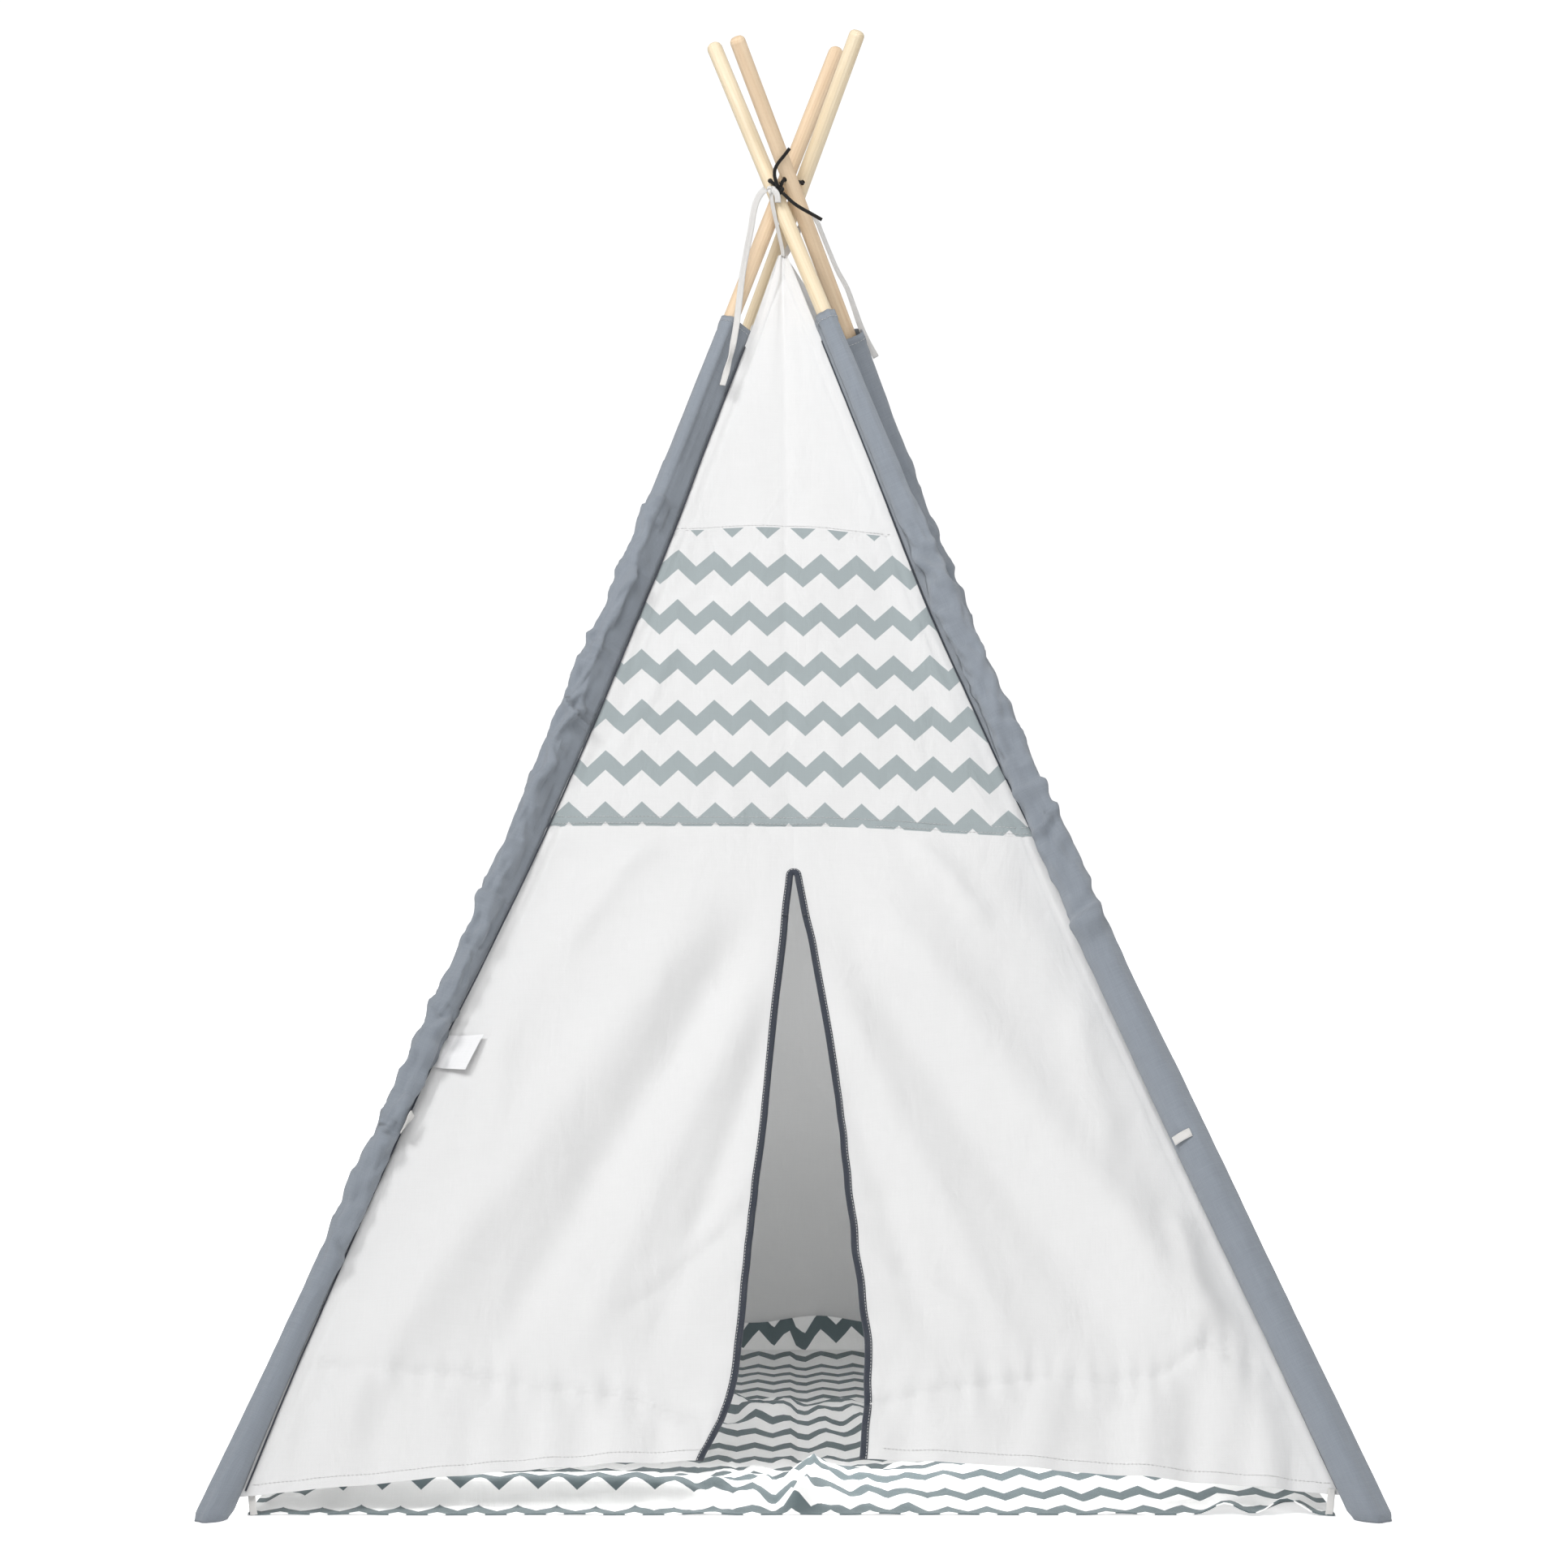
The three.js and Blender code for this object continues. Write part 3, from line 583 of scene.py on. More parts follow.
def cloth_piece(name, rows, columns, place, material, thickness, follow, slot, *nodes, turned=False):
    """A sheet of cloth with crisp edges. place(r, c) gives a point of its grid and its cloth coordinates."""
    grid = [place(r, c) for r in range(rows + 1) for c in range(columns + 1)]
    faces = grid_faces(rows + 1, columns + 1)
    obj = make_mesh(name, [p for p, _ in grid], turned_over(faces) if turned else faces, material,
                    [uv for _, uv in grid])
    uses = Counter(key for face in obj.data.polygons for key in face.edge_keys)
    for seam_shadow in obj.data.edges:
        seam_shadow.use_edge_sharp = uses[seam_shadow.key] == 1
    solid = obj.modifiers.new("thickness", "SOLIDIFY")
    solid.thickness = thickness * MM
    solid.offset = -1.0
    return attach(obj, follow, slot, *nodes)


# ---- camera and light

camera_data = bpy.data.cameras.new("camera")
camera_data.lens = 88.83
camera_data.sensor_width = 36
camera_data.clip_end = 60
camera = add_object("camera", camera_data)
camera.location = (-0.0075, -4.49, 0.7425)
camera.rotation_euler = (pi / 2, 0, 0)
scene.camera = camera
scene.view_settings.view_transform = "Standard"

world = bpy.data.worlds.new("studio")
world.use_nodes = True
sky = world.node_tree
background = sky.nodes["Background"]
background.inputs[0].default_value = (1, 1, 1, 1)
# the backdrop shows as plain white, and lights the scene less than it shows
seen = sky.nodes.new("ShaderNodeLightPath")
strength = sky.nodes.new("ShaderNodeMapRange")
strength.inputs["To Min"].default_value = 0.33
strength.inputs["To Max"].default_value = 1.05
sky.links.new(seen.outputs["Is Camera Ray"], strength.inputs["Value"])
sky.links.new(strength.outputs[0], background.inputs[1])
scene.world = world


def add_light(name, kind, location, target, energy, **settings):
    data = bpy.data.lights.new(name, kind)
    data.energy = energy
    for key, value in settings.items():
        setattr(data, key, value)
    light = add_object(name, data)
    light.location = location
    light.rotation_euler = (Vector(target) - Vector(location)).to_track_quat("-Z", "Y").to_euler()
    light.visible_camera = False


add_light("key", "SUN", (-2.6, -2.6, 3.9), (0, 0, 0.5), 1.2, angle=radians(16))
add_light("front", "SUN", (0.6, -3.2, 1.0), (0, 0, 0.5), 0.35, angle=radians(40))
add_light("side", "SUN", (3.0, 0.6, 1.6), (0, 0, 0.5), 0.6, angle=radians(30))
add_light("high", "AREA", (-0.45, -1.8, 2.6), (0, -0.2, 0.95), 27, shape="DISK", size=1.4)
# stands for the daylight that comes through the thin cotton
add_light("inside", "POINT", (0, -0.05, 0.36), (0, 0, 0), 2.4, shadow_soft_size=0.25)
add_light("inside_hem", "AREA", (0, -0.4, 0.15), (0, -0.53, 0), 1.3, shape="RECTANGLE", size=0.86,
          size_y=0.06)

floor_shader = Shader("floor_white", roughness=0.9, specular=0.1)
floor_shader.bsdf.inputs["Base Color"].default_value = (0.96, 0.96, 0.96, 1)
floor_shader.bsdf.inputs["Emission Color"].default_value = (1, 1, 1, 1)
seen = floor_shader.node("LightPath").outputs["Is Camera Ray"]
floor_glow = floor_shader.math("MULTIPLY_ADD", seen, 0.6, 0.06)
floor_shader.tree.links.new(floor_glow, floor_shader.bsdf.inputs["Emission Strength"])
floor_points = [Vector((x * 14000, y * 14000, -0.6)) for x, y in ((-1, -1), (1, -1), (1, 1), (-1, 1))]
floor = make_mesh("floor", floor_points, [(0, 1, 2, 3)], floor_shader.material)

# ---- cords and tapes at the crossing

CORD_R = 2.1
TAPE_WIDTH = 7.4
ROUND = circle(CORD_R, 12)
TAPE = tape_section(TAPE_WIDTH, 1.0)
ELASTIC_END = dict(section=ROUND, diameter=2 * CORD_R, slot="elastic_cord", material=ELASTIC,
                   stiffness="medium", lay="loose")
TAPE_END = dict(section=TAPE, diameter=TAPE_WIDTH, slot="cotton_tape", material=COTTON_TAPE,
                stiffness="limp", lay="hanging")


def free_cord(name, route, leaves, node, body, section, diameter, slot, material, stiffness, lay,
              facing=None):
    path = catmull(route)
    obj = sweep(name, path, section, material, facing)
    attach(obj, body, slot, node)
    tuple(Vector(leaves) * MM)


UPPER_TAIL = [(-14.5, -32.5, 1431.3), (-16.6, -35, 1436), (-18.4, -36.5, 1443), (-17.8, -38, 1450),
              (-14, -40, 1457), (-8, -42.5, 1464), (-1, -45, 1472.8)]
LOWER_TAIL = [(-8.6, -31.8, 1423.2), (-3, -33.5, 1417.5), (4, -35.5, 1411), (13, -37.5, 1404.8),
              (24, -39, 1398.5), (36, -40, 1391.5)]
LEFT_TAPE = [(-28.5, -31, 1428.5), (-34, -31.5, 1423), (-39.5, -32, 1413), (-43, -33.5, 1399),
             (-45, -35, 1385), (-49.5, -39, 1361), (-55, -48, 1329), (-59.5, -58, 1289),
             (-62.5, -66, 1264), (-68.5, -77, 1230), (-77.5, -88, 1196)]
REAR_TAPE = [(-7, 14.5, 1357.5), (1, 22, 1372), (9, 27.5, 1388), (17, 28, 1400), (25, 24, 1404),
             (31, 20, 1398), (36, 19.5, 1386), (43, 21.5, 1369), (55, 29, 1342), (66, 37, 1323),
             (74.5, 45, 1301), (82, 53, 1281), (91, 60, 1262), (101, 66, 1245)]
LASHING = (-12, -28, 1427)
TAPE_KNOT = (-22.5, -28.5, 1427.5)


def left_tape_facing(t):
    turn = 0.35 * sin(5 * t) + 1.25 * bell(t - 0.86, 0.07)
    return (sin(turn), -cos(turn), 0.1)


def rear_tape_facing(t):
    turn = 0.5 * sin(4 * t) + 0.3
    return (sin(turn), -cos(turn), 0.2)


for name, route in (("lashing_tail_upper", UPPER_TAIL), ("lashing_tail_lower", LOWER_TAIL)):
    free_cord(f"{name}_cord", route, LASHING, name, "front_frame", **ELASTIC_END)
free_cord("left_end_tape", LEFT_TAPE, TAPE_KNOT, "ribbon_left_end", "front_frame", facing=left_tape_facing,
          **TAPE_END)
free_cord("rear_end_tape", REAR_TAPE, REAR_TAPE[0], "ribbon_rear", "rear_frame", facing=rear_tape_facing,
          **TAPE_END)

LOOP = [(-12, -28, 1429), (-17, -26.5, 1433), (-22.5, -24, 1438), (-23.5, -18, 1440), (-23.5, -6.3, 1440),
        (-23.4, 2, 1440), (-21.3, 5.7, 1440), (-17.6, 8.1, 1440), (-13.6, 11.2, 1440), (-7.9, 17.9, 1440),
        (-1.6, 25.5, 1440), (4, 29.5, 1440), (10.5, 28, 1440), (13.6, 20, 1440), (13.8, 6.5, 1440),
        (13.6, -2.4, 1440), (11, -6, 1440), (6, -10.4, 1440), (-0.5, -18.2, 1440), (-5.8, -24.6, 1440),
        (-8.8, -28, 1438), (-10.5, -29.3, 1433.5), (-12, -28, 1428)]
attach(sweep("lashing_loop_cord", catmull(LOOP), ROUND, ELASTIC), "lashing", "elastic_cord", "lashing_loop")


def knot_path(centre, size):
    """A trefoil, closed on itself."""
    turns = (2 * pi * i / 48 for i in range(49))
    return [Vector(centre) + size * Vector((sin(t) + 2 * sin(2 * t), -1.1 * sin(3 * t),
                                            cos(t) - 2 * cos(2 * t))) for t in turns]


attach(sweep("lashing_knot_cord", knot_path((-12, -30.2, 1427), 1.15), circle(1.95, 10), ELASTIC, cap=False),
       "front_frame", "elastic_cord", "lashing_knot")

FRONT_TIE = [(-9, -12, 1353), (-9, -13.5, 1357.5), (-11.5, -17, 1370), (-15, -21, 1385), (-19, -26, 1402),
             (-21.5, -28.5, 1415), (-22.3, -29.5, 1424)]
attach(sweep("front_tie_tape", catmull(FRONT_TIE), TAPE, COTTON_TAPE, lambda t: (-0.85, -0.6, 0.1)),
       "front_tip", "cotton_tape", "ribbon_front_tie")
attach(sweep("tape_knot", knot_path((-22.5, -30.5, 1427.5), 1.25), circle(2.1, 10, 0.7), COTTON_TAPE,
             cap=False), "front_frame", "cotton_tape", "ribbon_knot")

SHORT_END = [(-20, -33, 1427), (-17, -34, 1424), (-15, -34.5, 1419), (-14.5, -34.5, 1412)]
attach(sweep("tape_short_end", catmull(SHORT_END, 1.5), TAPE, COTTON_TAPE, lambda t: (0.3, -1, 0)),
       "front_frame", "cotton_tape")

# ---- stitches

STITCHES = {}


def stitch(group, points, normals, pitch=4.2, length=3.1, width=0.55, lift=0.2):
    """Adds a row of stitches on a line of points to a group, which becomes one mesh."""
    vertices, faces, uvs = STITCHES.setdefault(group, ([], [], []))
    travelled = 0.0
    due = pitch * 0.5
    for p, q, n in zip(points, points[1:], normals):
        span = (q - p).length
        if span < 1e-6:
            continue
        ahead = (q - p) / span
        across = ahead.cross(n).normalized()
        while due <= travelled + span:
            middle = p + ahead * (due - travelled) + n * lift
            first = len(vertices)
            for s, t in ((-0.5, 0), (-0.3, 1), (0.3, 1), (0.5, 0)):
                for k in (-1, 1):
                    vertices.append(middle + ahead * (s * length) + across * (k * width / 2)
                                    + n * ((t - 0.6) * width * 0.8))
                    uvs.append((s * length, k * width / 2))
            faces += [(k, k + 1, k + 3, k + 2) for k in range(first, first + 6, 2)]
            due += pitch
        travelled += span


# ---- sides

# the poles at the side's left and right edge, whether it runs up to a tied tip, what its lower parts
# and its tip move with, and the seed of its folds
SIDES = {
    "front": dict(left="front_left", right="front_right", tied=True, body="front_frame", tip="front_tip",
                  seed=3),
    "right": dict(left="front_right", right="rear_right", tied=False, body="fold", tip="fold", seed=17),
    "back": dict(left="rear_right", right="rear_left", tied=True, body="rear_frame", tip="rear_tip", seed=31),
    "left": dict(left="rear_left", right="front_left", tied=False, body="fold", tip="fold", seed=47),
}


def edge_at(side, hand, z):
    """A point of a side's left or right edge, which follows the sleeve's seam and then the tip."""
    pole = SIDES[side][hand]
    if not SIDES[side]["tied"] or z <= SLEEVE_TOP:
        return seam_at(pole, min(z, SLEEVE_TOP))
    face = 1 if side == "front" else -1
    tip = Vector((TIP_X + face * SIGN[hand] * TIP_HALF, -face * TIP_Y, TIP_Z))
    return seam_at(pole, SLEEVE_TOP).lerp(tip, (z - SLEEVE_TOP) / (TIP_Z - SLEEVE_TOP))


def edges_at(side, z):
    return edge_at(side, "left", z), edge_at(side, "right", z)


def width_at(side, z):
    left, right = edges_at(side, z)
    return (right - left).length


def chord_edge(side, hand, z):
    """The same edge drawn straight from the hem to the lower seam, for the flat lower panels."""
    low, high = edge_at(side, hand, HEM_CORNER), edge_at(side, hand, SEAM_LOW)
    return low.lerp(high, (z - HEM_CORNER) / (SEAM_LOW - HEM_CORNER))


def side_normal(side):
    left, right = edges_at(side, 400)
    up = sum(edges_at(side, 600), Vector()) - sum(edges_at(side, 60), Vector())
    return (right - left).cross(up).normalized()


NORMALS = {side: side_normal(side) for side in SIDES}


def side_point(side, u, z):
    left, right = edges_at(side, z)
    point = left.lerp(right, u)
    if z < SEAM_LOW:
        flat = chord_edge(side, "left", z).lerp(chord_edge(side, "right", z), u)
        near = smooth(min(u, 1 - u) * (right - left).length / 70)
        point += NORMALS[side] * (flat - point).dot(NORMALS[side]) * near
    return point


def hem_height(u, side="front"):
    rise = BACK_HEM_RISE if side == "back" else HEM_RISE
    return HEM_CORNER + rise * sin(pi * clamp(u))


def band_top(side, u):
    """The upper seam of the band, which the pull of the tip lifts in the middle."""
    return SEAM_HIGH + (5 - 7.5 * u + 9.5 * sin(pi * u) if side == "front" else 0)


def band_bottom(side, u):
    return SEAM_LOW - (12 * smooth((u - 0.5) / 0.5) if side == "front" else 0)


# ---- folds of the sides


def ridge(x, z, x0, z0, x1, z1, width, height):
    """A soft straight fold from one point to another."""
    dx, dz = x1 - x0, z1 - z0
    length = hypot(dx, dz)
    t = ((x - x0) * dx + (z - z0) * dz) / length ** 2
    off = ((x - x0) * dz - (z - z0) * dx) / length
    ends = smooth(t * 4 + 0.2) * smooth((1 - t) * 4 + 0.2)
    return height * bell(off + 6 * uneven(t * 3, x0 * 0.01, z0 * 0.01), width) * ends


def drape(side, u, z):
    """How far the cloth of a side stands out from its flat surface."""
    width = width_at(side, z)
    inset = min(u, 1 - u) * width
    x = (u - 0.5) * width
    seed = SIDES[side]["seed"]
    calm = smooth(inset / 45)
    seam = smooth(abs(z - SEAM_LOW) / 40) * smooth(abs(z - SEAM_HIGH) / 30)
    out = 5.0 * uneven(x / 260, z / 300, seed) * calm
    out += 2.2 * uneven(x / 90 + z / 210, z / 120, seed + 5) * calm * (0.35 + 0.65 * seam)
    out += 0.9 * uneven(x / 32, z / 60, seed + 9) * calm * seam
    pucker = exp(-inset / 16)
    out += 1.1 * pucker * uneven(z / 13, 4 * pucker, seed + (1 if u < 0.5 else 2))
    out += 1.0 * smooth((14 - inset) / 1.5) - 0.9 * bell(inset - 14, 2.2)
    for line in (SEAM_LOW, SEAM_HIGH):
        out += 0.9 * fade(z - line, 12) * uneven(x / 14, line, seed) - 1.4 * bell(z - line, 1.8)
    return out


def surface(side, u, z, folds=None):
    out = drape(side, u, z)
    if folds is not None:
        out += folds(side, u, z)
    return side_point(side, u, z) + NORMALS[side] * out


def upper_folds(side, u, z):
    """Folds of an upper panel: a crease down its middle and pulls towards the tied tip."""
    if not SIDES[side]["tied"]:
        return 0.0
    x = (u - 0.5) * width_at(side, z)
    high = smooth((z - 1120) / 150)
    fan = uneven(u * 5.5, z / 700, 4)
    return 3.6 * high * fan * smooth(min(u, 1 - u) / 0.15) - 3.0 * fade(x, 15 - 7 * high)


# folds of the band: X and height of both ends, half width and depth
BAND_FOLDS = [
    (-112, 905, -196, 768, 8, 2.6),
    (-150, 880, -226, 742, 6, -1.6),
    (-60, 1010, -128, 930, 9, 1.6),
    (118, 985, 196, 800, 10, 2.0),
    (60, 830, 40, 712, 12, 1.4),
    (-70, 760, -90, 705, 9, -1.4),
]


def band_folds(side, u, z):
    """Folds of a patterned band: the crease down its middle and a few that the packing left."""
    x = (u - 0.5) * width_at(side, z)
    out = -3.0 * fade(x, 15) if SIDES[side]["tied"] else 0.0
    return out + sum(ridge(x, z, *fold) for fold in BAND_FOLDS)


def fold_lines(side):
    """Soft folds that run from the top of a lower side or back panel to its hem and corners."""
    rng = Random(side)
    lines = []
    for i in range(9):
        top = 190 * (i / 4 - 1) + rng.uniform(-30, 30)
        low = 470 * (i / 4 - 1) + rng.uniform(-60, 60)
        lines.append((top, 690, low, rng.uniform(60, 260), rng.uniform(16, 32),
                      rng.choice((-1, 1)) * rng.uniform(3, 7)))
    return lines


LOWER_LINES = {side: fold_lines(side) for side in ("right", "back", "left")}


def lower_folds(side, u, z):
    x = (u - 0.5) * width_at(side, z)
    ends = smooth(u / 0.06) * smooth((1 - u) / 0.06) * smooth((SEAM_LOW - z) / 60)
    return ends * sum(ridge(x, z, *fold) for fold in LOWER_LINES[side])


# folds of the lower front panel, as in the band
FRONT_FOLDS = [
    (-70, 640, -440, 130, 34, 7.5),
    (-40, 610, -330, 120, 26, -5.5),
    (-24, 560, -235, 130, 22, 4.5),
    (-18, 500, -150, 140, 18, -4.0),
    (-230, 690, -470, 300, 26, -3.5),
    (-150, 690, -250, 560, 16, 3.0),
    (-300, 500, -330, 330, 20, 2.5),
    (-470, 60, -330, 330, 30, 3.5),
    (-40, 330, -140, 215, 12, 2.2),
    (-52, 290, -180, 190, 9, -1.6),
    (80, 640, 460, 130, 34, 6.5),
    (50, 600, 350, 130, 26, -4.5),
    (40, 540, 240, 140, 22, 3.8),
    (50, 450, 150, 150, 18, -3.2),
    (230, 690, 470, 300, 24, -3.2),
    (130, 690, 215, 590, 14, 2.8),
    (300, 520, 335, 340, 18, 2.4),
    (440, 175, 395, 300, 14, 3.4),
    (480, 60, 330, 330, 30, 3.0),
    (84, 250, 190, 190, 10, 1.8),
]
# X and height of the crosswise crease that packing left above the hem
PACKING_CREASE = [(-488, 145), (-413, 141), (-346, 138), (-296, 132), (-229, 121), (-179, 119), (-130, 104),
                  (-95, 92), (88, 108), (146, 120), (204, 128), (271, 133), (338, 128), (388, 138),
                  (421, 164), (471, 147)]


def front_folds(side, u, z):
    """Folds of the lower front panel: they fan out from the top of the slit and from the corners."""
    left, right = edges_at(side, z)
    x = lerp(left.x, right.x, u)
    out = sum(1.9 * ridge(x, z, *fold) for fold in FRONT_FOLDS) * smooth((SEAM_LOW - z) / 40)
    out -= 1.6 * fade(x - SLIT_X, 11) * smooth((z - 630) / 30)
    ends = smooth(u / 0.05) * smooth((1 - u) / 0.05)
    above = z - soft_along(PACKING_CREASE, x, 16) - 3 * uneven(x / 40, 1, 1)
    out -= (5.5 + 3 * uneven(x / 50, 4, 1)) * fade(above, 6) * ends
    out += 4.5 * uneven(x / 15, above / 50, 8) * bell(above, 24) * ends
    out += 11.0 * smooth(-above / 35) * uneven((x - 0.1 * z) / 42, z / 260, 2) * ends
    seam_shadow = min(abs(x - slit_x("left", z)), abs(x - slit_x("right", z)))
    return out + 3.6 * fade(seam_shadow, 34) * uneven(z / 24, seam_shadow / 40, 6) * smooth((420 - z) / 120)


# ---- panels


def panel(side, part, span, low, high, rows, columns, material, follow, slot, folds):
    """A strip of a side from height low(u) to height high(u), which are about the two of span."""

    def place(r, c):
        u = c / columns
        z = lerp(low(u), high(u), r / rows)
        printed = z
        if side == "front" and part == "band":
            bent = high(u) - high(0) - 9.5 * sin(pi * u)
            printed -= lerp(0.8 * (low(u) - low(0)), bent, r / rows)
        return surface(side, u, z, folds), ((u - 0.5) * width_at(side, z), printed * SLOPE)

    obj = cloth_piece(f"{side}_{part}_cloth", rows, columns, place, material, PANEL_THICK, follow, slot,
                      f"{side}_{part}")
    widths = [width_at(side, z) for z in span]


def stitch_row(side, z_of, folds, count=240):
    """A row of stitches across a side at height z_of(u)."""
    shares = [lerp(0.01, 0.99, i / count) for i in range(count + 1)]
    line = [surface(side, u, z_of(u), folds) for u in shares]
    stitch(f"{SIDES[side]['body']}.{side}", line, [NORMALS[side]] * count, width=0.5)


for side, shape in SIDES.items():
    top = TIP_Z if shape["tied"] else SLEEVE_TOP - 2
    body = shape["body"]
    band_low, band_high = partial(band_bottom, side), partial(band_top, side)
    panel(side, "upper", (SEAM_HIGH, top), band_high, lambda u: top, 80, 60, COTTON, shape["tip"],
          "white_cloth", upper_folds)
    panel(side, "band", (SEAM_LOW, SEAM_HIGH), band_low, band_high, 80, 100, BAND_CLOTH, body,
          "chevron_cloth", band_folds)
    for rise in (2.5, 9.5):
        stitch_row(side, lambda u: band_low(u) + rise, band_folds)
    stitch_row(side, lambda u: band_high(u) + 2, upper_folds)
    if side != "front":
        panel(side, "lower", (HEM_CORNER, SEAM_LOW), lambda u: hem_height(u, side), band_low, 100, 110,
              COTTON, body, "white_cloth", lower_folds)
        stitch_row(side, lambda u: hem_height(u, side) + 9, lower_folds, count=400)

# ---- lower front panel and door


def slit_x(hand, z):
    if z >= SLIT_TOP:
        rise = clamp((z - SLIT_TOP) / SLIT_ROUND)
        return SLIT_X + SIGN[hand] * SLIT_ROUND * sqrt(1 - rise * rise)
    return soft_along(SLIT[hand], z, 9) + 1.8 * uneven(z / 30, SIGN[hand] * 3.0, 2) * smooth((460 - z) / 120)


def front_u(x, z):
    left, right = edges_at("front", z)
    return (x - left.x) / (right.x - left.x)


def front_point(x, z):
    return surface("front", front_u(x, z), z, front_folds)


def slit_edge(hand, z):
    return front_point(slit_x(hand, z), z)


def half_panel(hand, rows=150, columns=96):
    sign = SIGN[hand]

    def place(r, c):
        share = c / columns
        top_u = front_u(lerp(edge_at("front", hand, SEAM_LOW).x, SLIT_X, share), SEAM_LOW)
        low_u = front_u(lerp(edge_at("front", hand, HEM_CORNER).x, sign * DOOR_HALF, share), HEM_CORNER)
        z = lerp(hem_height(low_u), band_bottom("front", top_u), r / rows)
        inner = SLIT_X if z > SLIT_TOP + SLIT_ROUND else slit_x(hand, z) + sign * 1.5
        x = lerp(edge_at("front", hand, z).x, inner, share)
        return front_point(x, z), (x, z * SLOPE)

    obj = cloth_piece(f"front_lower_{hand}_cloth", rows, columns, place, COTTON, PANEL_THICK, f"door_{hand}",
                      "white_cloth", f"front_lower_{hand}", f"door_flap_{hand}", turned=hand == "right")
    outer = edge_at("front", hand, 30).x - sign * 8
    hem = [front_point(x, hem_height(front_u(x, HEM_CORNER)) + 10)
           for x in (lerp(outer, sign * (DOOR_HALF + 7), i / 260) for i in range(261))]
    stitch(f"door_{hand}.hem", hem, [NORMALS["front"]] * 260)


def binding_strip(name, seam_shadow, body, node, turned=False):
    """A tape folded over a cloth edge. edge is a list of (point on the edge, direction into the cloth)."""
    normal = NORMALS["front"]
    front = [(BINDING, 0.7), (BINDING * 0.86, 1.15), (BINDING * 0.45, 1.35), (0.6, 1.15)]
    section = front + [(-0.35, 0.0)] + [(s, -t) for s, t in reversed(front)]
    points = []
    uvs = []
    travelled = 0.0
    for i, (p, inward) in enumerate(seam_shadow):
        if i:
            travelled += (p - seam_shadow[i - 1][0]).length
        points += [p + inward * s + normal * t for s, t in section]
        uvs += [(s, travelled) for s, _ in section]
    n = len(section)
    faces = grid_faces(len(seam_shadow), n, wrap=True)
    faces += [tuple(range(n)), tuple(reversed(range(len(points) - n, len(points))))]
    obj = make_mesh(name, points, turned_over(faces) if turned else faces, BINDING_TAPE, uvs)
    attach(obj, body, "binding_tape", node)
    line = [p + inward * (BINDING - 1.3) + normal * 1.1 for p, inward in seam_shadow]
    stitch(f"{body}.{name}", line, [normal] * (len(line) - 1), pitch=3.4, length=2.5, width=0.6)


for hand in SIGN:
    half_panel(hand)

for hand, sign in SIGN.items():
    foot = hem_height(front_u(sign * DOOR_HALF, HEM_CORNER)) - 0.5
    seam_shadow = []
    for i in range(151):
        z = lerp(foot, FLAP_TOP - 0.3, i / 150)
        p = slit_edge(hand, z)
        seam_shadow.append((p, (front_point(slit_x(hand, z) + sign * 6, z) - p).normalized()))
    binding_strip(f"door_binding_{hand}_tape", seam_shadow, f"door_{hand}", f"door_binding_{hand}", hand == "left")

climb = [lerp(FLAP_TOP, SLIT_TOP, i / 30) for i in range(31)]
centre = front_point(SLIT_X, SLIT_TOP)
apex = [(slit_edge("left", z), Vector((-1, 0, 0))) for z in climb]
for i in range(1, 24):
    turn = pi * i / 24
    p = front_point(SLIT_X - SLIT_ROUND * cos(turn), SLIT_TOP + SLIT_ROUND * sin(turn))
    apex.append((p, (p - centre).normalized()))
apex += [(slit_edge("right", z), Vector((1, 0, 0))) for z in reversed(climb)]
binding_strip("slit_top_tape", apex, "front_frame", "slit_top_binding", turned=True)

# ---- sleeves


def teardrop(radius, reach, tip=1.1, around=26, sides=5):
    """The outline across a pole, as (across, out, turn): round about it and drawn in to the seam edge."""
    lean = acos(clamp((radius - tip) / reach, -1, 1))
    across, out = reach + tip * cos(lean), tip * sin(lean)
    turns = [lean + (2 * pi - 2 * lean) * i / around for i in range(around + 1)]
    points = [(radius * cos(turn), radius * sin(turn), turn) for turn in turns]
    seam_shadow = [(reach + tip * 0.8, k * tip * 0.6, 2 * pi) for k in (-1, 1)]
    ends = ((points[-1], (across, -out, 0)), ((across, out, 0), points[0]))
    near, far = ([tuple(lerp(a, b, k / sides) for a, b in zip(*pair)) for k in range(1, sides)]
                 for pair in ends)
    return points + near + seam_shadow + far


def bunches(name):
    """Where a sleeve is pushed together: the height, swell, reach, slant and turn of each fold."""
    rng = Random(name)
    z, high = POLES[name]["bunched"]
    folds = []
    while z < high:
        swell = rng.uniform(1.0, 4.0) * rng.choice((0.5, 1, 1.4))
        folds.append((z, swell, rng.uniform(12, 30), rng.uniform(-22, 22), rng.uniform(0, 2 * pi)))
        z += rng.uniform(13, 44)
    return folds


def gathers(name, z, turn, folds):
    """Bunched cloth along a sleeve, as a change of radius."""
    seed = 10.0 * (sorted(POLES).index(name) + 1)
    low, high = POLES[name]["bunched"]
    loose = smooth((z - low + 90) / 150) * smooth((high + 60 - z) / 160)
    out = 0.0
    for place, swell, reach, slant, phase in folds:
        d = z + slant * cos(turn - phase) - place
        rise = 1 + d / reach if d <= 0 else 1 - d / (0.24 * reach)
        if rise > 0:
            out += swell * smooth(rise) * (0.6 + 0.4 * cos(turn - 2 * phase))
    c, w = cos(turn), sin(turn)
    wide = uneven(z / 60, seed + 0.9 * c, 0.9 * w)
    fine = uneven((z + 9 * w) / 19, c * 0.9, seed + w * 0.9)
    long_fold = uneven(z / 260, c * 1.5, seed + w * 1.5)
    creases = 1 - 2 * abs(uneven((z - 16 * c) / 30, seed + c, 3 + w))
    return 0.68 * out + loose * (2.0 * wide + 2.2 * fine + 2.4 * creases - 1) + 1.8 * long_fold + 0.3 * fine


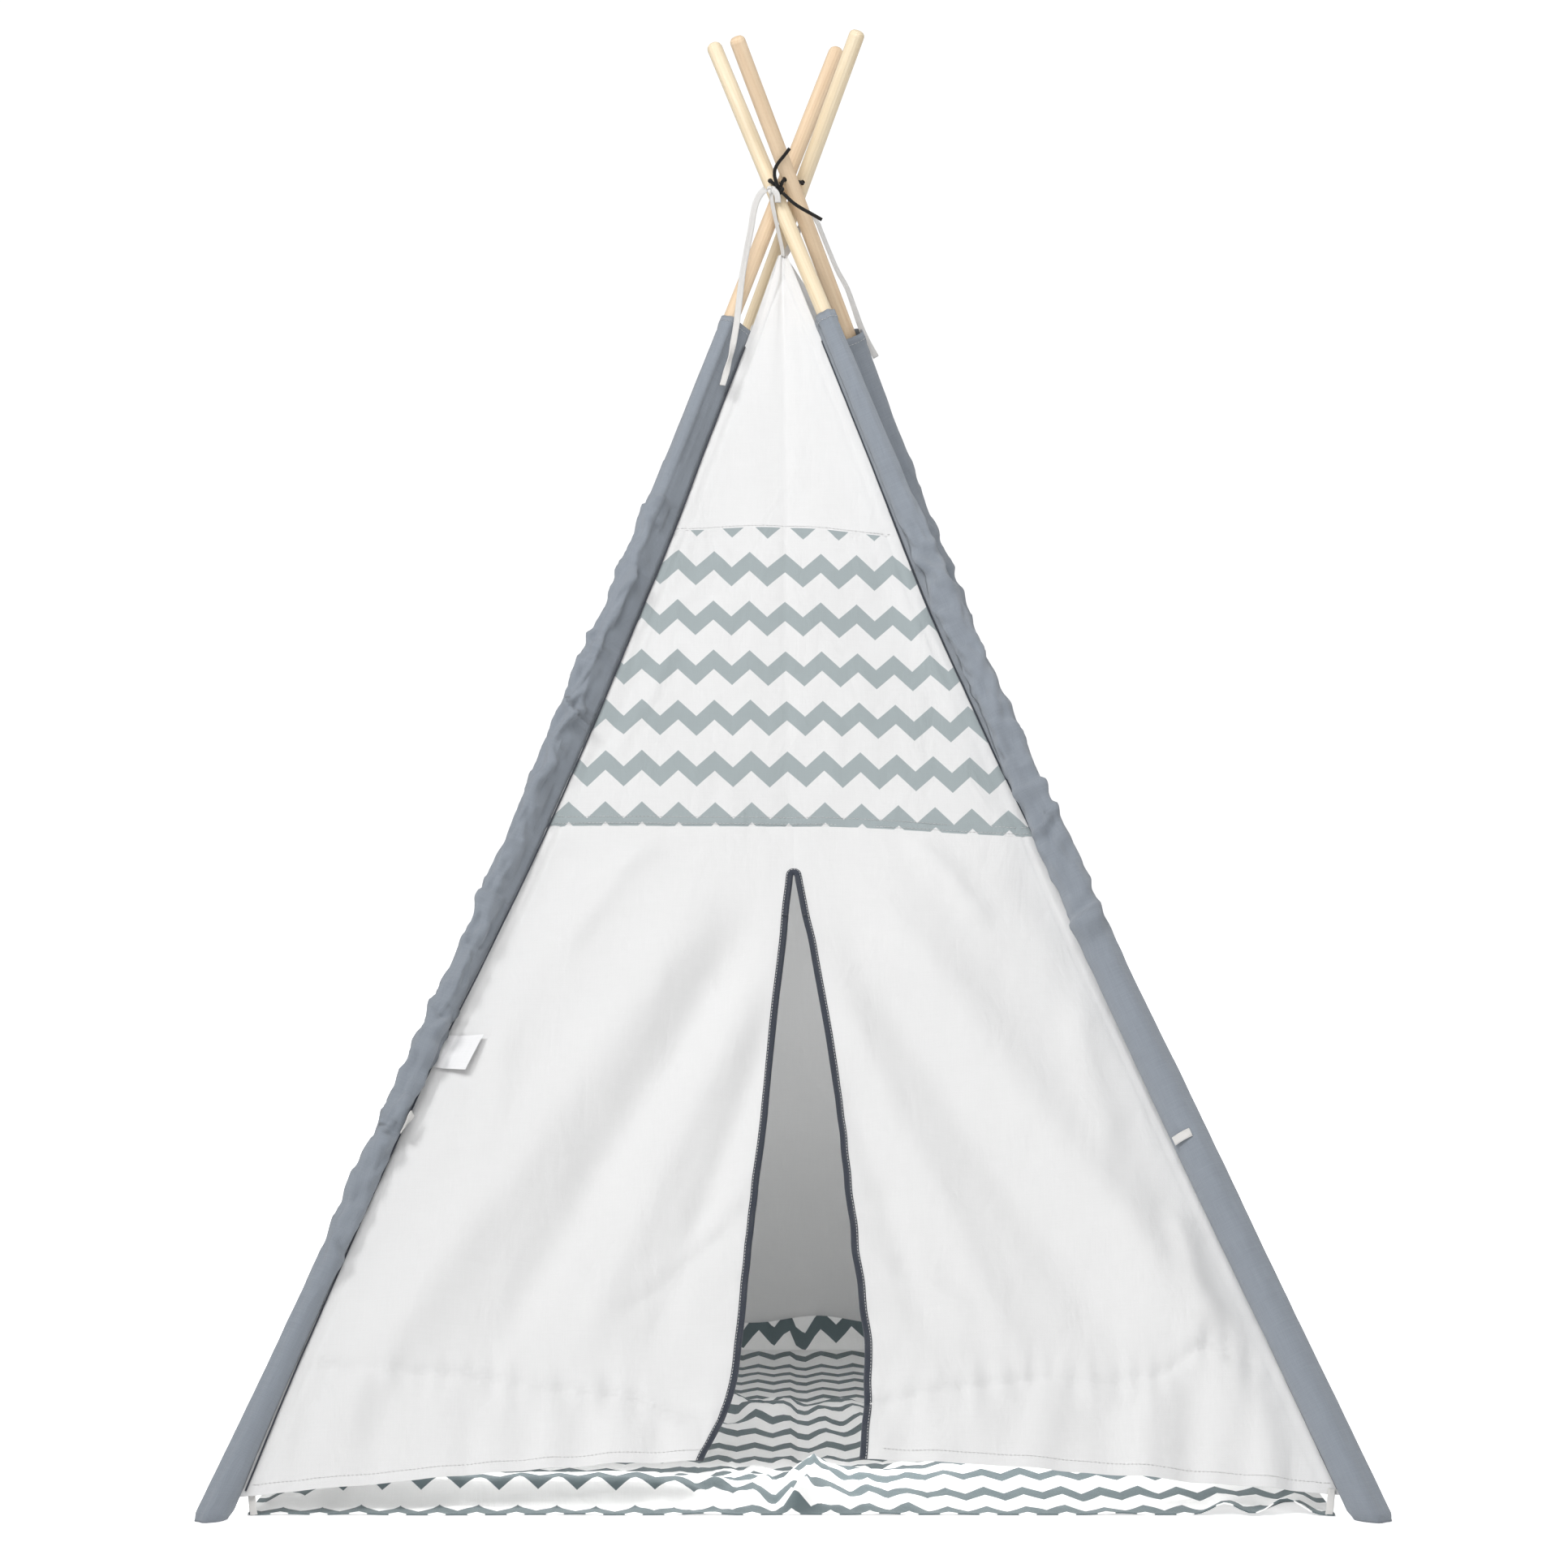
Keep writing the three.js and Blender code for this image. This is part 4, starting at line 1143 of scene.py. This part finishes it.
def make_sleeve(name, body, step=2.8, hem=13):
    """Makes a sleeve and gives the line for the stitches of its top hem."""
    pole = POLES[name]
    top = pole["sleeve_top"]
    heights = [z * step for z in range(int(top / step))] + [top]
    bunched = bunches(name)
    rows = []
    uvs = []
    for z in heights:
        direction = direction_at(name, max(z, 20))
        centre = soft_axis_at(name, z)
        seam = seam_at(name, z) - centre
        aside = seam - direction * seam.dot(direction)
        u = aside.normalized()
        w = direction.cross(u)
        radius = soft_along(pole["radius"], z, 25)
        folds = [fold for fold in bunched if abs(fold[0] - z) < 45]
        core = JOINT_CORE if min(abs(z - joint) for joint in JOINT_Z) < 36 else POLE_R + 0.7
        ring = []
        around = 0.0
        for a, b, turn in teardrop(radius, aside.length - 1.1):
            grow = gathers(name, z, turn, folds)
            grow *= smooth((1.6 * radius - hypot(max(0, a), b)) / radius + 0.3)
            grow *= 1 + 1.6 * max(0.0, -(u * a + w * b).normalized().y)
            if top - hem < z:
                grow += 0.7
            if abs(z - (top - hem)) < step:
                grow -= 0.5
            length = hypot(a, b)
            lift = max(core, length + grow) / length if a < radius else 1.0
            lift *= lerp(0.86, 1, smooth(z / 9))
            point = centre + u * (a * lift) + w * (b * lift)
            if z < 60:
                level = point + direction * ((z - point.z) / direction.z)
                point = level.lerp(point, smooth((z - 10) / 50))
            if ring:
                around += (point - ring[-1]).length
            ring.append(point)
            uvs.append((around, z * SLOPE))
        rows.append(ring)
    rim = rows[-1]
    middle = soft_axis_at(name, top)
    for drop, shrink in ((-0.5, 0.93), (-4, 0.9), (-12, 0.9)):
        rows.append([middle + (p - middle) * shrink + direction_at(name, top) * drop for p in rim])
        uvs += [(around, top * SLOPE - drop) for around, _ in uvs[-len(rim):]]
    points = [p for ring in rows for p in ring]
    for p in points:
        p.z = max(p.z, 0.05)
    faces = grid_faces(len(rows), len(rim), wrap=True) + [tuple(reversed(range(len(rim))))]
    obj = make_mesh(f"sleeve_{name}_canvas", points, faces, SLEEVE_CLOTH, uvs)
    attach(obj, body, "sleeve_cloth", f"sleeve_{name}")
    return [p + (p - middle).normalized() * 0.25 for p in rows[len(heights) - 3]]


for name, pole in POLES.items():
    body = "front_frame" if name.startswith("front") else "rear_frame"
    rim = make_sleeve(name, body)
    middle = soft_axis_at(name, pole["sleeve_top"] - 8)
    stitch(f"{body}.{name}", rim + rim[:1], [(p - middle).normalized() for p in rim], pitch=3.8, length=2.8)

# a thin dark cord along the seam beside each front sleeve: painted shadow, standing for the shade in the gap
# between the sleeve and the panel
for hand, u in (("left", 0.003), ("right", 0.997)):
    heights = (lerp(26, POLES[f"front_{hand}"]["sleeve_top"] - 30, i / 180) for i in range(181))
    path = [surface("front", u, z) + Vector((0, -1.9, 0)) for z in heights]
    attach(sweep(f"sleeve_front_{hand}_edge", path, circle(0.95, 6), BINDING_TAPE), "front_frame",
           "sleeve_cloth", f"sleeve_front_{hand}")

# ---- mat

MAT_CURL = 46
MAT_COLUMNS = 138


def mat_height(x, y):
    """The thin mat, bunched up behind its front edge, wrinkled at the door and curled up at the back."""
    d = y + MAT_Y
    left = smooth((-20 - x) / 150)
    right = smooth((x - 50) / 160)
    bulge = 27 * smooth((d - 28) / 28) * (1 - smooth((d - 78) / 110)) * lerp(0.3, 1, smooth((x + 540) / 120))
    ramp = 21 * smooth(d / 190) * (1 - smooth((d - 200) / 170))
    doorway = 13 * smooth(d / 110) * (1 - smooth((d - 120) / 150))
    out = 1.7 + left * bulge + right * ramp + (1 - left - right) * doorway
    near = smooth(d / 25)
    front = near * (1 - smooth((d - 150) / 120))
    out += 25 * fade(x - 8 - 0.12 * d, 15) * front - 7 * bell(x + 14, 9) * front
    out += 11 * uneven(x / 26, d / 34, 4) * bell(x, 120) * near * (1 - smooth((d - 240) / 160))
    out += 3.0 * uneven(x / 48, d / 60, 11) * front
    across = y - 60 - 22 * uneven(x / 70, 0, 2)
    slope = smooth((across + 330) / 300) if across < 0 else 1 - smooth(across / 45)
    out += 24 * slope * (0.8 + 0.7 * uneven(x / 34, y / 90, 1)) * near
    out += 6 * bell(across + 74, 26) * max(0, uneven(x / 50, 5, 1) + 0.2)
    out += 1.8 * max(0.0, uneven(x / 90, y / 70, 9)) * near
    ruffle = smooth((x - 400) / 60) * fade(d, 40) * smooth((MAT_X + 4 - x) / 30)
    out += 15 * ruffle * (0.55 + 0.45 * sin((x - 0.4 * d) / 11))
    out += 3.0 * fade(d, 30) * max(0.0, uneven(x / 60, 2, 7))
    out += 8 * smooth((y - 430) / 80)
    return lerp(1.6, max(1.5, out), smooth((MAT_X - abs(x)) / 30))


def mat_point(x, y):
    """The mat lies flat and its back edge stands up inside the back panel."""
    t = clamp((y - (MAT_Y - MAT_CURL)) / MAT_CURL) * smooth((MAT_X - abs(x)) / 60)
    turn = t * pi / 2
    rise = 36 + 4 * sin(x / 52 + 1) + 3 * sin(x / 23)
    return Vector((x, y - t * MAT_CURL + 14 * sin(turn), mat_height(x, y) + rise * (1 - cos(turn))))


mat_ys = [-MAT_Y + 4.5 * i for i in range(45)]
mat_ys += [lerp(mat_ys[-1], MAT_Y - 48, i / 92) for i in range(1, 93)]
mat_ys += [lerp(MAT_Y - 48, MAT_Y, i / 12) for i in range(1, 13)]
mat_run = [0.0] * (MAT_COLUMNS + 1)


def mat_place(r, c):
    x = lerp(-MAT_X, MAT_X, c / MAT_COLUMNS)
    point = mat_point(x, mat_ys[r])
    if r:
        mat_run[c] += (point - mat_point(x, mat_ys[r - 1])).length
    shift = fade(r, 4) * (2.0 * uneven(x / 80, 0.5, 3) + 6 * smooth((x - 420) / 60) * sin(x / 13))
    return point + Vector((0, shift, 0)), (x, mat_run[c])


mat = cloth_piece("floor_mat_cloth", len(mat_ys) - 1, MAT_COLUMNS, mat_place, MAT_CLOTH, 1.4, "fold",
                  "mat_cloth", "floor_mat")

# ---- small sewn parts


def tape_patch(name, path, width, thickness, facing, body):
    """A short tape that stands for the node of its name."""
    tape = sweep(f"{name}_tape", path, tape_section(width, thickness), COTTON_TAPE, lambda t: facing)
    attach(tape, body, "tab_tape", name)


for name, pole in POLES.items():
    fx, fy = pole["foot"]
    route = [(545, 566, 1.2), (546, 567.5, 8), (547, 566, 17), (549, 561, 27)]
    path = catmull([(fx * x, fy * y, z) for x, y, z in route], 1.5)
    tape_patch(f"corner_tab_{name}", path, 7.5, 0.9, (0, fy, 0.2), "front_frame" if fy < 0 else "rear_frame")

# the ties that hold a rolled door: the right one lies across its sleeve, the left one is seen edge-on
TIE_Z = 371
direction = direction_at("front_right", TIE_Z)
outward = (Vector((0, -1, 0)) + direction * direction.y).normalized()
across = direction.cross(outward)
path = [soft_axis_at("front_right", TIE_Z) + outward * (19.5 * (1 - (s / 28) ** 2) + 2.4) + across * s
        for s in (-18 + 20 * i / 24 for i in range(25))]
tape_patch("door_tie_right", path, 9.5, 1.4, outward, "front_frame")
seam = seam_at("front_left", 384)
path = catmull([seam + Vector(p) for p in ((11, -9, 12), (7, -14, 6), (3, -17, -1), (-1, -19, -8))], 1.5)
tape_patch("door_tie_left", path, 9.5, 1.4, (1, 0.25, 0.6), "front_frame")

# X and height of the label's corners: it is caught in the seam on its left and stands away on its right
LABEL = [(-384, 443.7), (-345, 437), (-367.6, 475.7), (-327, 474)]
LABEL_ROWS, LABEL_COLUMNS = 14, 18


def label_place(r, c):
    s, t = c / LABEL_COLUMNS, r / LABEL_ROWS
    x, z = (lerp(lerp(LABEL[0][i], LABEL[1][i], s), lerp(LABEL[2][i], LABEL[3][i], s), t) for i in (0, 1))
    lift = 3.4 + 6.5 * s * s * (1 - 0.5 * t) + 1.2 * sin(pi * t) * s
    return front_point(x, z) + NORMALS["front"] * lift, (s * 41, t * 38)


cloth_piece("care_label_cloth", LABEL_ROWS, LABEL_COLUMNS, label_place, LABEL_SATIN, 0.35, "front_frame",
            "label_cloth", "care_label")

for group, (points, faces, uvs) in STITCHES.items():
    follow, _, place = group.partition(".")
    attach(make_mesh(f"stitches_{place}_{follow}", points, faces, THREAD, uvs), follow, "cotton_tape")
